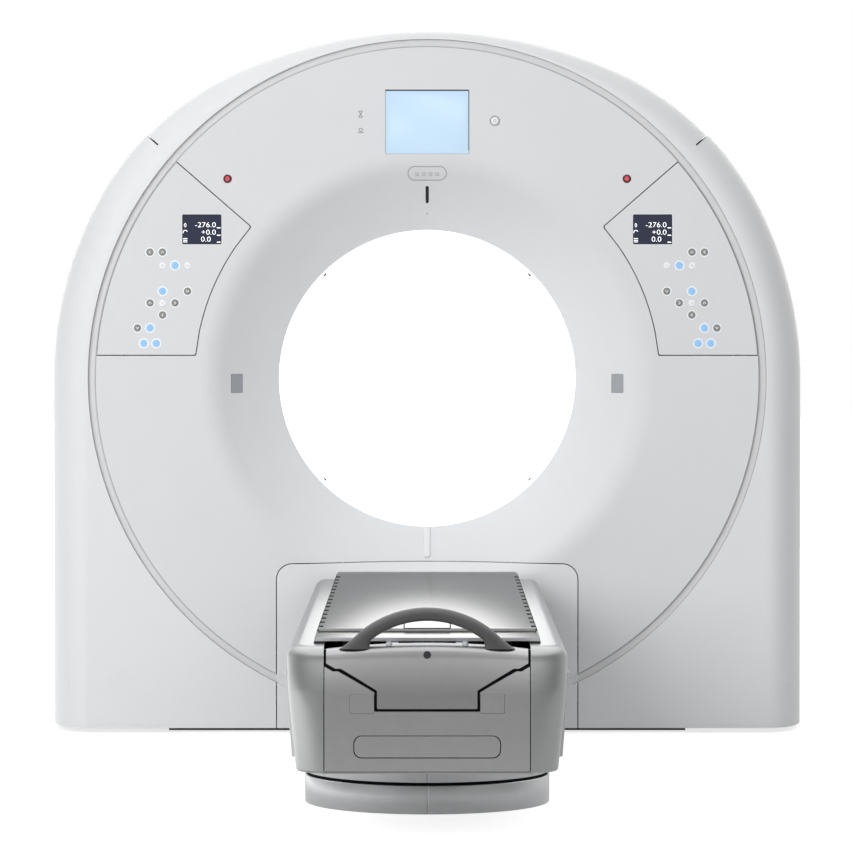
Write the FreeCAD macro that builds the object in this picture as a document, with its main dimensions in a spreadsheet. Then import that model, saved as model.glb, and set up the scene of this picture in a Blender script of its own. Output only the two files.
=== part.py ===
import FreeCAD, Part
import Sketcher
import math
import os
import re
from FreeCAD import Placement, Rotation, Vector

# Large-bore scanner with its patient couch, in millimetres.
# The frame stands on the floor under the centre of the bore: +Z up, +Y from the couch into the
# bore, +X to the right of someone who faces the machine. The couch is at its lowest, all the way out.

document = FreeCAD.newDocument("ct_scanner")

# ---------------------------------------------------------------- driving dimensions

# A text value is a formula in the other sizes: pieces that keep together in the real machine are tied
# by a named or plain distance, so a larger ring, bore, depth or couch takes its neighbours along.
SIZES = {
    # gantry, outside
    "ring_inner": 992, "groove_width": 24, "side_roll": 121, "top_roll": 37, "top_flatness": 367,
    "under_ring": 46, "gantry_depth": 882, "bore_radius": 450, "flare_depth": 177, "dock_drop": 554,
    "ring_outer": "ring_inner + groove_width", "side_radius": "ring_outer + side_roll",
    "top_rise": "ring_outer + top_roll", "top_arc": "top_rise + top_flatness",
    "iso_height": "ring_outer + under_ring", "tunnel_length": "gantry_depth - 2*flare_depth",
    "ring_recess": 12, "trim_width": "groove_width - 0.8", "shoulder_start": 38, "shoulder_end": 56,
    "cover_seam_angle": 49, "edge_round_depth": 240, "cover_wall": 5, "cover_flange": 40,
    "floor_gap": 15, "seam_gap": 3, "seat_gap": 0.3, "lip_width": 14, "lip_wall": 4,
    "flare_mouth": "panel_inner - 55", "flare_blend": 100, "liner_wall": 4,
    "dock_width": 901, "dock_height": "iso_height - dock_drop", "dock_corner": 47, "dock_wall": 18,
    "vent_count": 9, "vent_pitch": 30, "vent_width": 10, "vent_length": 520, "vent_height": "dock_height - 328",
    # gantry front, controls
    "panel_reach": 297, "panel_inner": "ring_inner - panel_reach", "panel_drop": 72,
    "key_radius": 10.5, "key_rise": 1.2, "key_first": "panel_inner + 22", "key_pitch": 37.5,
    "mat_wall": 3, "mat_height": 320, "small_display_width": 119, "small_display_height": 91,
    "small_display_across": "panel_inner - 21", "small_display_up": 448, "display_depth": 14,
    "main_display_width": 252, "main_display_height": 193, "main_display_up": "ring_inner - 223",
    "indicator_width": 116, "indicator_height": 41, "indicator_up": "flare_mouth - 24",
    "slot_width": 10, "slot_height": 51, "slot_up": "flare_mouth - 86",
    "side_window_width": 35, "side_window_height": 57, "side_window_across": "flare_mouth - 68",
    "side_window_drop": 14, "rib_width": 21, "rib_rise": 7, "rib_outer": "flare_mouth - 100",
    "stop_radius": 9.5, "stop_across": "panel_inner - 98", "stop_up": 599, "stop_travel": 4,
    "start_radius": 12, "start_across": 202, "start_up": "main_display_up + 3", "start_travel": 2,
    "bezel_wall": 3.5, "bezel_rise": 2, "button_height": 14, "button_clearance": 0.4,
    # gantry, inside
    "base_width": "2*side_radius - 714", "base_length": "gantry_depth - 182", "base_plate": 24,
    "anchor_across": "base_width - 140", "anchor_along": "base_length - 140", "anchor_radius": 11,
    "beam_width": 150, "beam_height": 110,
    "upright_radius": "ring_inner - 30", "upright_wall": 32, "upright_back": "tunnel_length/2 - 2", "leg_width": 300,
    "bearing_inner": "bore_radius + 50", "bearing_outer": "bearing_inner + 66",
    "bearing_split": "bearing_inner + 33", "bearing_length": 52, "bearing_clearance": 0.3,
    "drum_radius": "ring_inner - 87", "drum_wall": 16, "drum_plate": 28,
    "drum_back": "upright_back - 112", "drum_front": "-drum_back", "air_gap": 2, "stator_wall": 22,
    "stator_length": 60, "focus_radius": "drum_radius - 215", "tube_radius": 120,
    "tube_length": "drum_back + 100", "detector_distance": "focus_radius + bore_radius + 45",
    "detector_depth": 60, "detector_length": "tube_length - 30", "fan_angle": 50, "beam_room": 45,
    "unit_depth": 240, "unit_room": 20,
    "slip_middle": "(bearing_outer + drum_radius)/2 - 45.5", "slip_width": 170, "slip_wall": 22,
    "brush_width": 180, "brush_height": 110,
    # couch
    "couch_length": 2588, "couch_back": "-gantry_depth/2 - 124", "couch_front": "couch_back - couch_length",
    "couch_width": 662, "couch_bottom": 171, "couch_top": 470, "couch_taper": 22, "couch_corner": 85,
    "couch_bulge": 30, "couch_wall": 4, "couch_belly": "couch_top - 120", "couch_shoulder": "couch_top - 85",
    "couch_edge": 30, "couch_seam": 0.8, "panel_split": "couch_width/2 - 88", "panel_depth": 34, "end_gap": 5,
    "cradle_side": "panel_split - 5", "cradle_side_low": "couch_top - 36",
    "cradle_step": "panel_split - 27", "cradle_step_low": "couch_top - 50",
    "cradle_slope": "panel_split - 39", "keel_width": "panel_split - 125", "keel_top": "couch_top - 102",
    "keel_low": "couch_top - 150", "end_depth": 56,
    "access_width": "2*panel_split - 137", "access_height": 56, "access_up": "couch_bottom + 36",
    "access_corner": 20, "stop_post_across": 90, "stop_post_radius": 7, "stop_post_rise": 11,
    "strip_low": "couch_bottom + 28", "strip_high": "couch_shoulder + 15",
    "strip_rise": 7, "table_near": "couch_front + 125", "table_far": "couch_back + 33",
    "table_width": "2*panel_split + 44", "table_lap": 3, "table_height": "couch_top + 20",
    "table_wall": 10, "overlay_near": "table_near + 216", "overlay_step": 6,
    "notch_pitch": "(table_far - overlay_near - 180)/notch_count",
    "notch_count": 15, "notch_width": 34, "notch_depth": 9,
    "handle_radius": 16.5, "handle_span": "2*panel_split - 142", "handle_rise": 76, "handle_setback": 34,
    "release_radius": 9, "release_up": "couch_top - 19", "release_travel": 3, "release_length": 22,
    "release_setback": 22,
    # couch, column and running gear
    "column_along": "couch_front + 962", "foot_radius": "couch_width/2 - 19", "foot_height": 72, "foot_wall": 6,
    "foot_plate": 12, "foot_gap": 7, "skirt_wall": 4, "skirt_clearance": 3, "skirt_lip": 6,
    "skirt_top": "spar_low - 4", "column_width": "2*spar_inner - 42", "column_wall": 10,
    "column_clearance": 0.4, "foot_anchor_circle": "2*foot_radius - 104", "foot_anchor_count": 6,
    "foot_anchor_radius": 8,
    "spar_inner": "rail_across - 34", "spar_width": 96, "spar_low": "couch_top - 166", "spar_height": 54,
    "spar_wall": 5, "cross_wall": 8,
    "rail_across": "panel_split - 73", "rail_width": 20, "rail_height": 18,
    "carriage_length": 640, "carriage_wall": 14, "block_length": 90, "block_width": 60,
}

sheet = document.addObject("Spreadsheet::Sheet", "Sizes")
for row, alias in enumerate(SIZES, start=1):
    sheet.set(f"A{row}", alias.replace("_", " "))
    sheet.setAlias(f"B{row}", alias)
for row, value in enumerate(SIZES.values(), start=1):
    sheet.set(f"B{row}", f"={value}")
document.recompute()


def linked(text):
    """An expression in the sheet's aliases, as the document writes it."""
    return re.sub(r"[a-z][a-z_]+", lambda m: "Sizes." + m[0] if m[0] in SIZES else m[0], str(text))


def size(text):
    """The number that such an expression has now."""
    return float(sheet.evalExpression(linked(text)))


def bind(thing, **properties):
    """Ties properties of an object to expressions; x, y and z are its place."""
    for name, text in properties.items():
        path = f".Placement.Base.{name}" if name in "xyz" else name
        thing.setExpression(path, linked(text))
    return thing


# ---------------------------------------------------------------- pieces that repeat

counter = {"made": 0}
nodes = {}


def add(kind, label=None):
    counter["made"] += 1
    thing = document.addObject(kind, f"step_{counter['made']}")
    thing.Label = label or thing.Name
    return thing


def keep(thing, label):
    """Names a finished sub-part; its shape is written to a file of that name."""
    thing.Label = label
    nodes[label] = thing
    return thing


def box(x, y, z, length, width, height):
    """A block from its low corner; every size is an expression."""
    block = add("Part::Box")
    return bind(block, Length=length, Width=width, Height=height, x=x, y=y, z=z)


def centred_box(x, y, z, length, width, height):
    """A block centred across the machine on x and upright on z, from y towards the bore."""
    return box(f"({x}) - ({length})/2", y, f"({z}) - ({height})/2", length, width, height)


def rod(x, y, z, radius, length):
    """A round bar along +Y from the point given."""
    bar = add("Part::Cylinder")
    bar.Placement.Rotation = Rotation(Vector(1, 0, 0), -90)
    return bind(bar, Radius=radius, Height=length, x=x, y=y, z=z)


def post(x, y, z, radius, height):
    """A round bar upright from the point given."""
    bar = add("Part::Cylinder")
    return bind(bar, Radius=radius, Height=height, x=x, y=y, z=z)


def tube(maker, x, y, z, outer, inner, length):
    """A round sleeve made by rod or post; the bore runs past both ends."""
    return cut(maker(x, y, z, outer, length), maker(x, y, z, inner, length))


def cut(base, *tools):
    for tool in tools:
        piece = add("Part::Cut")
        piece.Base = base
        piece.Tool = tool
        base = piece
    return base


def fuse(*parts):
    piece = add("Part::MultiFuse")
    piece.Shapes = list(parts)
    piece.Refine = True
    return piece


def common(*parts):
    piece = add("Part::MultiCommon")
    piece.Shapes = list(parts)
    return piece


def group(*parts):
    """Separate solids of one node."""
    piece = add("Part::Compound")
    piece.Links = list(parts)
    return piece


def mirrored(source, normal=Vector(1, 0, 0)):
    piece = add("Part::Mirroring")
    piece.Source = source
    piece.Normal = normal
    return piece


def pair(label, right_piece):
    """A right-hand piece and its mirror image on the left."""
    keep(right_piece, f"right_{label}")
    keep(mirrored(right_piece), f"left_{label}")


def pair_group(right_piece):
    return group(right_piece, mirrored(right_piece))


def plane_of(body, role):
    return next(f for f in body.Origin.OriginFeatures if f.Role == role)


def new_sketch(body, role):
    sketch = body.newObject("Sketcher::SketchObject", body.Name + "_sketch")
    sketch.AttachmentSupport = [(plane_of(body, role), "")]
    sketch.MapMode = "FlatFace"
    return sketch


def hold(sketch, kind, geometry, point, text):
    """Holds a point of a sketch at a distance from the origin, tied to an expression."""
    value = size(text)
    if abs(value) < 1e-9:
        axis = -2 if kind == "DistanceX" else -1
        sketch.addConstraint(Sketcher.Constraint("PointOnObject", geometry, point, axis))
        return
    index = sketch.addConstraint(Sketcher.Constraint(kind, -1, 1, geometry, point, value))
    sketch.setExpression(f"Constraints[{index}]", linked(text))


def outline(body, role, corners):
    """A closed outline of straight edges; each corner is a pair of expressions."""
    sketch = new_sketch(body, role)
    points = [Vector(size(a), size(b), 0) for a, b in corners]
    for start, end in zip(points, points[1:] + points[:1]):
        sketch.addGeometry(Part.LineSegment(start, end), False)
    for index, (a, b) in enumerate(corners):
        after = (index + 1) % len(corners)
        sketch.addConstraint(Sketcher.Constraint("Coincident", index, 2, after, 1))
        hold(sketch, "DistanceX", index, 1, a)
        hold(sketch, "DistanceY", index, 1, b)
    return sketch


def new_body():
    counter["made"] += 1
    return document.addObject("PartDesign::Body", f"body_{counter['made']}")


def pad(body, sketch, length, both_sides=False, reversed_=False):
    feature = body.newObject("PartDesign::Pad", body.Name + "_pad")
    feature.Profile = sketch
    feature.setExpression("Length", linked(length))
    feature.Midplane = both_sides
    feature.Reversed = reversed_
    return feature


def revolve(body, sketch):
    """Turns a profile all the way round the body's own Y axis."""
    feature = body.newObject("PartDesign::Revolution", body.Name + "_turn")
    feature.Profile = sketch
    feature.ReferenceAxis = (plane_of(body, "Y_Axis"), [""])
    feature.Angle = 360
    return feature


def rounded(body, feature, chosen, radius):
    """Rounds the edges of a feature that the test picks."""
    document.recompute()
    edges = [f"Edge{i + 1}" for i, edge in enumerate(feature.Shape.Edges) if chosen(edge)]
    fillet = body.newObject("PartDesign::Fillet", body.Name + "_round")
    fillet.Base = (feature, edges)
    fillet.setExpression("Radius", linked(radius))
    body.Tip = fillet
    return fillet


def is_circle(edge, radius, along):
    """True of a full circle about the bore's axis, in the body's own frame."""
    curve = edge.Curve
    if not isinstance(curve, Part.Circle):
        return False
    return abs(curve.Radius - radius) < 0.01 and abs(curve.Center.y - along) < 0.01


def ring_body(profile):
    """A ring about the bore's axis, turned from a profile of (radius, along) corners."""
    body = new_body()
    bind(body, z="iso_height")
    feature = revolve(body, outline(body, "XY_Plane", profile))
    return body, feature


def plate(corners, y_from, thickness, corner_radius=None, low_corners=False):
    """An upright plate facing the couch: its outline in (across, up), then its thickness along +Y."""
    body = new_body()
    bind(body, y=y_from)
    feature = pad(body, outline(body, "XZ_Plane", corners), thickness, reversed_=True)
    if corner_radius:
        top = max(size(up) for _, up in corners)
        low = min(size(up) for _, up in corners)

        def corner(edge, levels=(top, low) if low_corners else (top,)):
            ends = [vertex.Point for vertex in edge.Vertexes]
            along = abs(ends[0].y - ends[-1].y) > 0.9 * size(thickness)
            return along and min(abs(ends[0].z - level) for level in levels) < 0.01

        rounded(body, feature, corner, corner_radius)
    return body


def rectangle(width, low, high):
    """Corners of an upright rectangle centred across the machine."""
    return [(f"-({width})/2", low), (f"({width})/2", low), (f"({width})/2", high), (f"-({width})/2", high)]


# ---------------------------------------------------------------- gantry covers

FRONT = "-gantry_depth/2"
BACK = "gantry_depth/2"


def outer_radius(angle):
    """Radius of the outer covers at an angle from the top: a flat arch, a shoulder, then a circle."""

    def arch(degrees):
        turn = math.radians(degrees)
        centre = size("top_rise") - size("top_arc")
        return centre * math.cos(turn) + math.sqrt(size("top_arc") ** 2 - (centre * math.sin(turn)) ** 2)

    angle = abs(angle)
    start, end = size("shoulder_start"), size("shoulder_end")
    if angle <= start:
        return arch(angle)
    if angle >= end:
        return size("side_radius")
    share = (angle - start) / (end - start)
    return arch(start) + share * (size("side_radius") - arch(start))


def elliptic_quarter(radius, rise, depth, mid):
    """A quarter of an ellipse in (radius, along), from the cover's edge to its flank."""
    side = 1 if mid > 0 else -1
    curve = Part.BSplineCurve()
    curve.interpolate([
        Vector(radius + rise * math.sin(turn), mid + side * depth * math.cos(turn), 0)
        for turn in (math.radians(90 * step / 4) for step in range(5))
    ])
    return curve.toShape()


def cover_section(angle, inset, wall, flange=0.0, start=0.0):
    """The closed section of the outer covers in the radial plane at an angle from the top.

    It starts at a distance outside the groove; with a flange, its rims turn in beside the groove.
    """
    deep, edge = size("edge_round_depth"), size("ring_outer") + start
    mid = size("gantry_depth/2") - deep
    inner_edge = edge + wall if flange else edge

    def skin(rim_radius, depth_in):
        top, depth = outer_radius(angle) - depth_in, deep - depth_in
        flank = Part.LineSegment(Vector(top, -mid, 0), Vector(top, mid, 0)).toShape()
        rolls = [elliptic_quarter(rim_radius, top - rim_radius, depth, side * mid) for side in (-1, 1)]
        return rolls + [flank]

    def rim(side):
        face = side * (mid + deep - inset)
        corners = [Vector(edge, face, 0), Vector(edge, face - side * wall, 0)]
        if flange:
            back = face - side * flange
            corners[1:] = [Vector(edge, back, 0), Vector(inner_edge, back, 0),
                           Vector(inner_edge, face - side * wall, 0)]
        return Part.makePolygon(corners).Edges

    edges = skin(edge, inset) + rim(1) + skin(inner_edge, inset + wall) + rim(-1)
    wire = Part.Wire(Part.__sortEdges__(edges))
    wire.rotate(Vector(0, 0, 0), Vector(0, 1, 0), angle - 90)
    wire.translate(Vector(0, 0, size("iso_height")))
    return wire


def cover_shell(angles, inset=0.0, wall=None, **rim):
    """The curved wall of the covers, carried through sections at these angles."""
    wires = [cover_section(angle, inset, wall or size("cover_wall"), **rim) for angle in angles]
    return Part.makeLoft(wires, True, False)


def above_seams(lift):
    """Everything above the two seams, which run at an angle from the bore's axis; lift moves it up."""
    turn, far = math.radians(size("cover_seam_angle")), 4 * size("side_radius")
    apex = Vector(0, -far, size("iso_height") + lift / math.sin(turn))
    left, right = (apex + Vector(side * far * math.sin(turn), 0, far * math.cos(turn)) for side in (-1, 1))
    return Part.Face(Part.makePolygon([apex, left, right, apex])).extrude(Vector(0, 2 * far, 0))


def top_angles():
    """Where the top cover's sections stand, out to a little past the seams."""
    seam, shoulder = size("cover_seam_angle"), size("shoulder_start")
    half = [0.5 * shoulder, shoulder, 0.5 * (shoulder + seam), seam + 2]
    return [-angle for angle in reversed(half)] + [0] + half


def top_cover_shape():
    """The arched cover over the top, from seam to seam."""
    shell = cover_shell(top_angles(), flange=size("cover_flange"))
    return shell.common(above_seams(size("seam_gap/2")))


def side_angles():
    """Where the side cover's sections stand, down to the height of the bore's axis."""
    seam, shoulder = size("cover_seam_angle"), size("shoulder_end")
    return [seam - 2, 0.5 * (seam + shoulder), shoulder, 0.5 * (shoulder + 90), 90]


def seam_tongue():
    """A strip on the side cover's inner skin that laps under the top cover along the seam."""
    gap, reach, wall = size("seam_gap"), size("lip_width"), size("cover_wall")
    clear = wall + size("seat_gap")
    right = Part.makeBox(*(4 * size("side_radius"),) * 3, Vector(0, -2 * size("side_radius"), 0))

    def band(shell, low, high):
        return shell.common(above_seams(low).cut(above_seams(high)).common(right))

    strip = band(cover_shell(top_angles(), inset=clear, wall=size("lip_wall"), start=clear), -2 * reach, reach + gap)
    root = band(cover_shell(side_angles(), inset=wall - 1, wall=2.5, start=clear), -1.5 * reach, -gap)
    return [strip, root]


def side_cover_shape():
    """The right-hand cover: a shoulder, a half-round flank, a straight skirt and flat lower corners."""
    half, flange = size("gantry_depth/2"), size("cover_flange")
    iso, low, edge, wall = (size(n) for n in ("iso_height", "floor_gap", "ring_outer", "cover_wall"))
    bend = cover_shell(side_angles(), flange=flange).cut(above_seams(-size("seam_gap") / 2))
    skirt = Part.Face(cover_section(90, 0.0, wall)).extrude(Vector(0, 0, low - iso))
    inside = size("dock_width/2 + seam_gap")
    below = Part.makeBox(2 * edge, 3 * half, iso - low, Vector(inside, -1.5 * half, low))
    hole = Part.makeCylinder(edge, 4 * half, Vector(0, -2 * half, iso), Vector(0, 1, 0))
    corners = []
    for face, inward in ((-half, 1), (half, -1)):
        web = Part.makeBox(edge - inside, wall, iso - low, Vector(inside, min(face, face + inward * wall), low))
        start = Vector(0, min(face, face + inward * flange), iso)
        rim = Part.makeCylinder(edge + wall, flange, start, Vector(0, 1, 0)).common(below)
        corners.append(web.fuse(rim).cut(hole))
    return bend.multiFuse([skirt, *corners, *seam_tongue()])


def shaped(shape, label=None):
    """A free-form piece whose shape was worked out above."""
    piece = add("Part::Feature")
    piece.Shape = shape
    return keep(piece, label) if label else piece


def disc(setback="0"):
    """A disc cover: rim, flat face, cone and lip, with a soft blend at the mouth of the flare."""
    face, lip, wall = "-gantry_depth/2", "-tunnel_length/2", "cover_wall"
    mouth_inside, face_inside = f"flare_mouth + 0.4*{wall}", f"{face} + {wall}"
    body, turned = ring_body([
        ("ring_inner", face), ("ring_inner", f"{face} + cover_flange"),
        (f"ring_inner - {wall}", f"{face} + cover_flange"), (f"ring_inner - {wall}", face_inside),
        (mouth_inside, face_inside), (f"bore_radius + 1.5*{wall}", lip), ("bore_radius", lip),
        ("flare_mouth", face),
    ])

    def at_mouth(edge):
        return is_circle(edge, size("flare_mouth"), size(face)) or is_circle(
            edge, size(mouth_inside), size(face_inside))

    rounded(body, turned, at_mouth, "flare_blend")
    return bind(body, y=setback)


def sector(y_from, thickness, margin, inner, outer):
    """A plate between two radii, a level line and the seam's radial line, each moved in by a margin."""
    body = new_body()
    bind(body, y=y_from, z="iso_height")
    sketch = new_sketch(body, "XZ_Plane")
    low = f"panel_drop + {margin}"

    def at_low(radius):
        return f"sqrt(({radius})^2 - ({low})^2)"

    def at_seam(radius):
        turn = "cover_seam_angle"
        return f"({margin})*cos({turn}) + sqrt(({radius})^2 - ({margin})^2)*sin({turn})"

    def point(radius, across):
        return Vector(size(across), math.sqrt(size(radius) ** 2 - size(across) ** 2), 0)

    arcs = []
    for radius in (outer, inner):
        start, end = point(radius, at_low(radius)), point(radius, at_seam(radius))
        circle = Part.Circle(Vector(0, 0, 0), Vector(0, 0, 1), size(radius))
        turns = [math.atan2(p.y, p.x) for p in (start, end)]
        arcs.append(sketch.addGeometry(Part.ArcOfCircle(circle, *turns), False))
        sketch.addConstraint(Sketcher.Constraint("Coincident", arcs[-1], 3, -1, 1))
        index = sketch.addConstraint(Sketcher.Constraint("Radius", arcs[-1], size(radius)))
        sketch.setExpression(f"Constraints[{index}]", linked(radius))
        hold(sketch, "DistanceY", arcs[-1], 1, low)
        hold(sketch, "DistanceX", arcs[-1], 2, at_seam(radius))
    for end, across in ((1, at_low), (2, at_seam)):
        line = sketch.addGeometry(Part.LineSegment(
            point(outer, across(outer)), point(inner, across(inner))), False)
        sketch.addConstraint(Sketcher.Constraint("Coincident", line, 1, arcs[0], end))
        sketch.addConstraint(Sketcher.Constraint("Coincident", line, 2, arcs[1], end))
    pad(body, sketch, thickness, reversed_=True)
    return body


# Places of the 15 keys of a control panel: steps of the key pitch across, then height over the bore's axis.
KEY_PLACES = (
    (2, 380), (3, 380), (0, 340), (1, 340), (2, 340), (0, 263), (2, 263), (1, 228), (2, 228), (3, 228),
    (2, 192), (3, 153), (4, 153), (2.5, 107), (3.5, 107),
)


def key_bars(radius, y_from, length):
    return [rod(f"key_first + {steps}*key_pitch", y_from, f"iso_height + {up}", radius, length)
            for steps, up in KEY_PLACES]


def slot_plate(width, height, across, up, y_from, thickness):
    """A plate with half-round ends, centred at a point over the bore's axis."""
    body = plate([
        (f"({a})*({width})/2", f"({b})*({height})/2") for a, b in ((-1, -1), (1, -1), (1, 1), (-1, 1))
    ], y_from, thickness)
    bind(body, x=across, z=f"iso_height + ({up})")
    feature = body.Tip

    def end(edge):
        ends = [vertex.Point for vertex in edge.Vertexes]
        return abs(ends[0].y - ends[-1].y) > 0.9 * size(thickness)

    rounded(body, feature, end, f"0.498*min({width}; {height})")
    return body


def build_gantry_covers():
    through = ("-gantry_depth", "gantry_depth")
    iso = "iso_height"

    # The windows are cut out of the disc itself, so they follow its curve.
    openings = {
        "indicator_window": lambda gap: slot_plate(
            f"indicator_width - 2*({gap})", f"indicator_height - 2*({gap})", "0", "indicator_up", *through),
        "laser_slot": lambda gap: slot_plate(
            f"slot_width - 2*({gap})", f"slot_height - 2*({gap})", "0", "slot_up", *through),
    }

    def side_window(gap):
        window = centred_box("side_window_across", "-gantry_depth", f"{iso} - side_window_drop",
                             f"side_window_width - 2*({gap})", "gantry_depth", f"side_window_height - 2*({gap})")
        return pair_group(window)

    cover = cut(disc(), openings["indicator_window"]("0"), openings["laser_slot"]("0"), side_window("0"))
    keep(common(disc(), openings["indicator_window"]("seat_gap")), "indicator_window")
    keep(group(common(disc(), openings["laser_slot"]("seat_gap")), common(disc(), side_window("seat_gap"))),
         "laser_windows")

    # Recesses for the control panels stop at the rim; the lower panel takes the rim away with it.
    recess = sector(f"{FRONT} - 1", "cover_wall + 1", "0", "panel_inner", "ring_inner + 1")
    dock_hole = box("-dock_width/2 - seam_gap", f"{FRONT} - 1", "-floor_gap", "dock_width + 2*seam_gap",
                    "(gantry_depth - tunnel_length)/2", "floor_gap + dock_height + seam_gap")
    display_hole = centred_box("0", f"{FRONT} - 1", f"{iso} + main_display_up", "main_display_width",
                               "cover_flange", "main_display_height")
    bezel_holes = group(
        rod("start_across", f"{FRONT} - 1", f"{iso} + start_up", "start_radius + bezel_wall", "cover_flange"),
        pair_group(rod("stop_across", f"{FRONT} - 1", f"{iso} + stop_up", "stop_radius + bezel_wall",
                       "cover_flange")))
    cover = cut(cover, recess, mirrored(recess), dock_hole, display_hole, bezel_holes)
    keep(cover, "front_cover")

    rear_hole = mirrored(dock_hole, Vector(0, 1, 0))
    keep(cut(mirrored(disc(), Vector(0, 1, 0)), rear_hole), "rear_cover")

    # The rings that line the grooves between the discs and the outer covers.
    def trim():
        lap = "(ring_outer - ring_inner - trim_width)/2"
        return tube(rod, "0", f"{FRONT} + ring_recess", iso, f"ring_outer - {lap}", f"ring_inner + {lap}",
                    "0.6*cover_flange")

    keep(cut(trim(), dock_hole), "front_trim_ring")
    keep(mirrored(cut(trim(), dock_hole), Vector(0, 1, 0)), "rear_trim_ring")

    shaped(top_cover_shape(), "top_cover")
    pair("side_cover", shaped(side_cover_shape()))
    keep(tube(rod, "0", "seat_gap - tunnel_length/2", iso, "bore_radius + liner_wall", "bore_radius",
              "tunnel_length - 2*seat_gap"), "bore_liner")

    # Lower panels: a slab with the groove across it. Its top carries on the flare of the disc, with a
    # lip that hooks behind the disc's edge.
    def lower_panel():
        blend_end = "flare_mouth + 0.5*flare_blend"
        outline_of_panel = plate(rectangle("dock_width", "floor_gap", "dock_height"), FRONT,
                                 "gantry_depth/2", "dock_corner")
        slab = common(outline_of_panel, cut(
            box("-dock_width", FRONT, "0", "2*dock_width", "dock_wall", "2*dock_height"),
            rod("0", f"{FRONT} - 1", iso, blend_end, "dock_wall + 2")))
        flare = common(disc(), outline_of_panel, rod("0", FRONT, iso, f"{blend_end} + dock_wall", "gantry_depth"))

        def behind(walls, rise):
            strip = box("-0.4*dock_width", "-gantry_depth", "dock_height - 2*lip_width", "0.8*dock_width",
                        "gantry_depth", f"2*lip_width + {rise}")
            return common(disc(f"{walls}*cover_wall"), strip)

        groove = tube(rod, "0", f"{FRONT} - 1", iso, "ring_outer", "ring_inner", "ring_recess + 1")
        lip = [behind(0.8, "0"), behind(1.5, "seam_gap + lip_width")]
        return cut(fuse(slab, flare, *lip), groove)

    keep(lower_panel(), "docking_panel")
    vents = group(*[
        box("-vent_length/2", f"{FRONT} - 1", f"vent_height + {step}*vent_pitch", "vent_length",
            "dock_wall + 2", "vent_width") for step in range(int(size("vent_count")))
    ])
    keep(mirrored(cut(lower_panel(), vents), Vector(0, 1, 0)), "rear_service_panel")

    # The guide bar on the flare, over the cone at the bottom of the tunnel.
    def cone(radius, lift):
        slope = "(gantry_depth - tunnel_length)/2/(flare_mouth - bore_radius)"
        return f"-tunnel_length/2 - ({radius} - bore_radius)*{slope} - ({lift})"

    bar = new_body()
    bind(bar, z=iso)
    corners = [(cone(radius, lift), f"-({radius})") for radius, lift in (
        ("bore_radius", "seat_gap"), ("rib_outer", "seat_gap"), ("rib_outer", "rib_rise"),
        ("bore_radius", "rib_rise"))]
    pad(bar, outline(bar, "YZ_Plane", corners), "rib_width", both_sides=True)
    keep(bar, "guide_bar")


def build_controls():
    iso, wall = "iso_height", "cover_wall"
    rim = f"ring_inner - {wall} - seat_gap"
    face = sector(FRONT, f"{wall} - seat_gap", "seam_gap", "panel_inner + seam_gap", "ring_inner - seam_gap")
    step = sector(FRONT, f"{wall} + seat_gap + lip_wall", "seam_gap", "panel_inner + seam_gap", rim)
    lip = sector(f"{FRONT} + {wall} + seat_gap", "lip_wall", "-lip_width", "panel_inner - lip_width", rim)
    panel_depth = f"({wall} + seat_gap + lip_wall)"
    screen_hole = centred_box("small_display_across", f"{FRONT} - 1", f"{iso} + small_display_up",
                              "small_display_width", "2*display_depth", "small_display_height")
    key_holes = group(*key_bars("key_radius + seat_gap", f"{FRONT} - 1", "2*display_depth"))
    pair("control_panel", cut(fuse(face, step, lip), screen_hole, key_holes))

    # Each keypad is one moulded mat: its keys come up through the holes of the panel.
    mat_back = f"{FRONT} + {panel_depth} + seat_gap"
    mat = box("key_first - key_pitch/2", mat_back, f"{iso} + panel_drop + key_radius",
              "5*key_pitch", "mat_wall", "mat_height")
    keys = key_bars("key_radius", f"{FRONT} - key_rise", f"key_rise + {panel_depth} + seat_gap + mat_wall")
    pair("keypad", fuse(mat, *keys))
    pair("display", centred_box(
        "small_display_across", f"{FRONT} + seat_gap", f"{iso} + small_display_up",
        "small_display_width - 2*seat_gap", "display_depth", "small_display_height - 2*seat_gap"))
    keep(centred_box("0", f"{FRONT} + 0.6*{wall}", f"{iso} + main_display_up",
                     "main_display_width - 2*seat_gap", "2*display_depth",
                     "main_display_height - 2*seat_gap"), "main_display")

    def bezel(across, up, radius, travel):
        """A cup let into the front cover; the button slides in it, with room left at the end of its travel."""
        depth = f"bezel_rise + button_height + {travel} + bezel_wall"
        cup = rod(across, f"{FRONT} - bezel_rise", up, f"{radius} + bezel_wall - seat_gap",
                  f"{depth} + bezel_wall")
        return cut(cup, rod(across, f"{FRONT} - bezel_rise - 1", up, radius, f"{depth} + 1"))

    def button(across, up, radius, _travel):
        return rod(across, f"{FRONT} - 0.5*bezel_rise", up, f"{radius} - button_clearance", "button_height")

    stop = ("stop_across", f"{iso} + stop_up", "stop_radius", "stop_travel")
    start = ("start_across", f"{iso} + start_up", "start_radius", "start_travel")
    keep(group(pair_group(bezel(*stop)), bezel(*start)), "button_bezels")
    pair("stop_button", button(*stop))
    keep(button(*start), "start_button")


# ---------------------------------------------------------------- gantry frame and rotor


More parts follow.
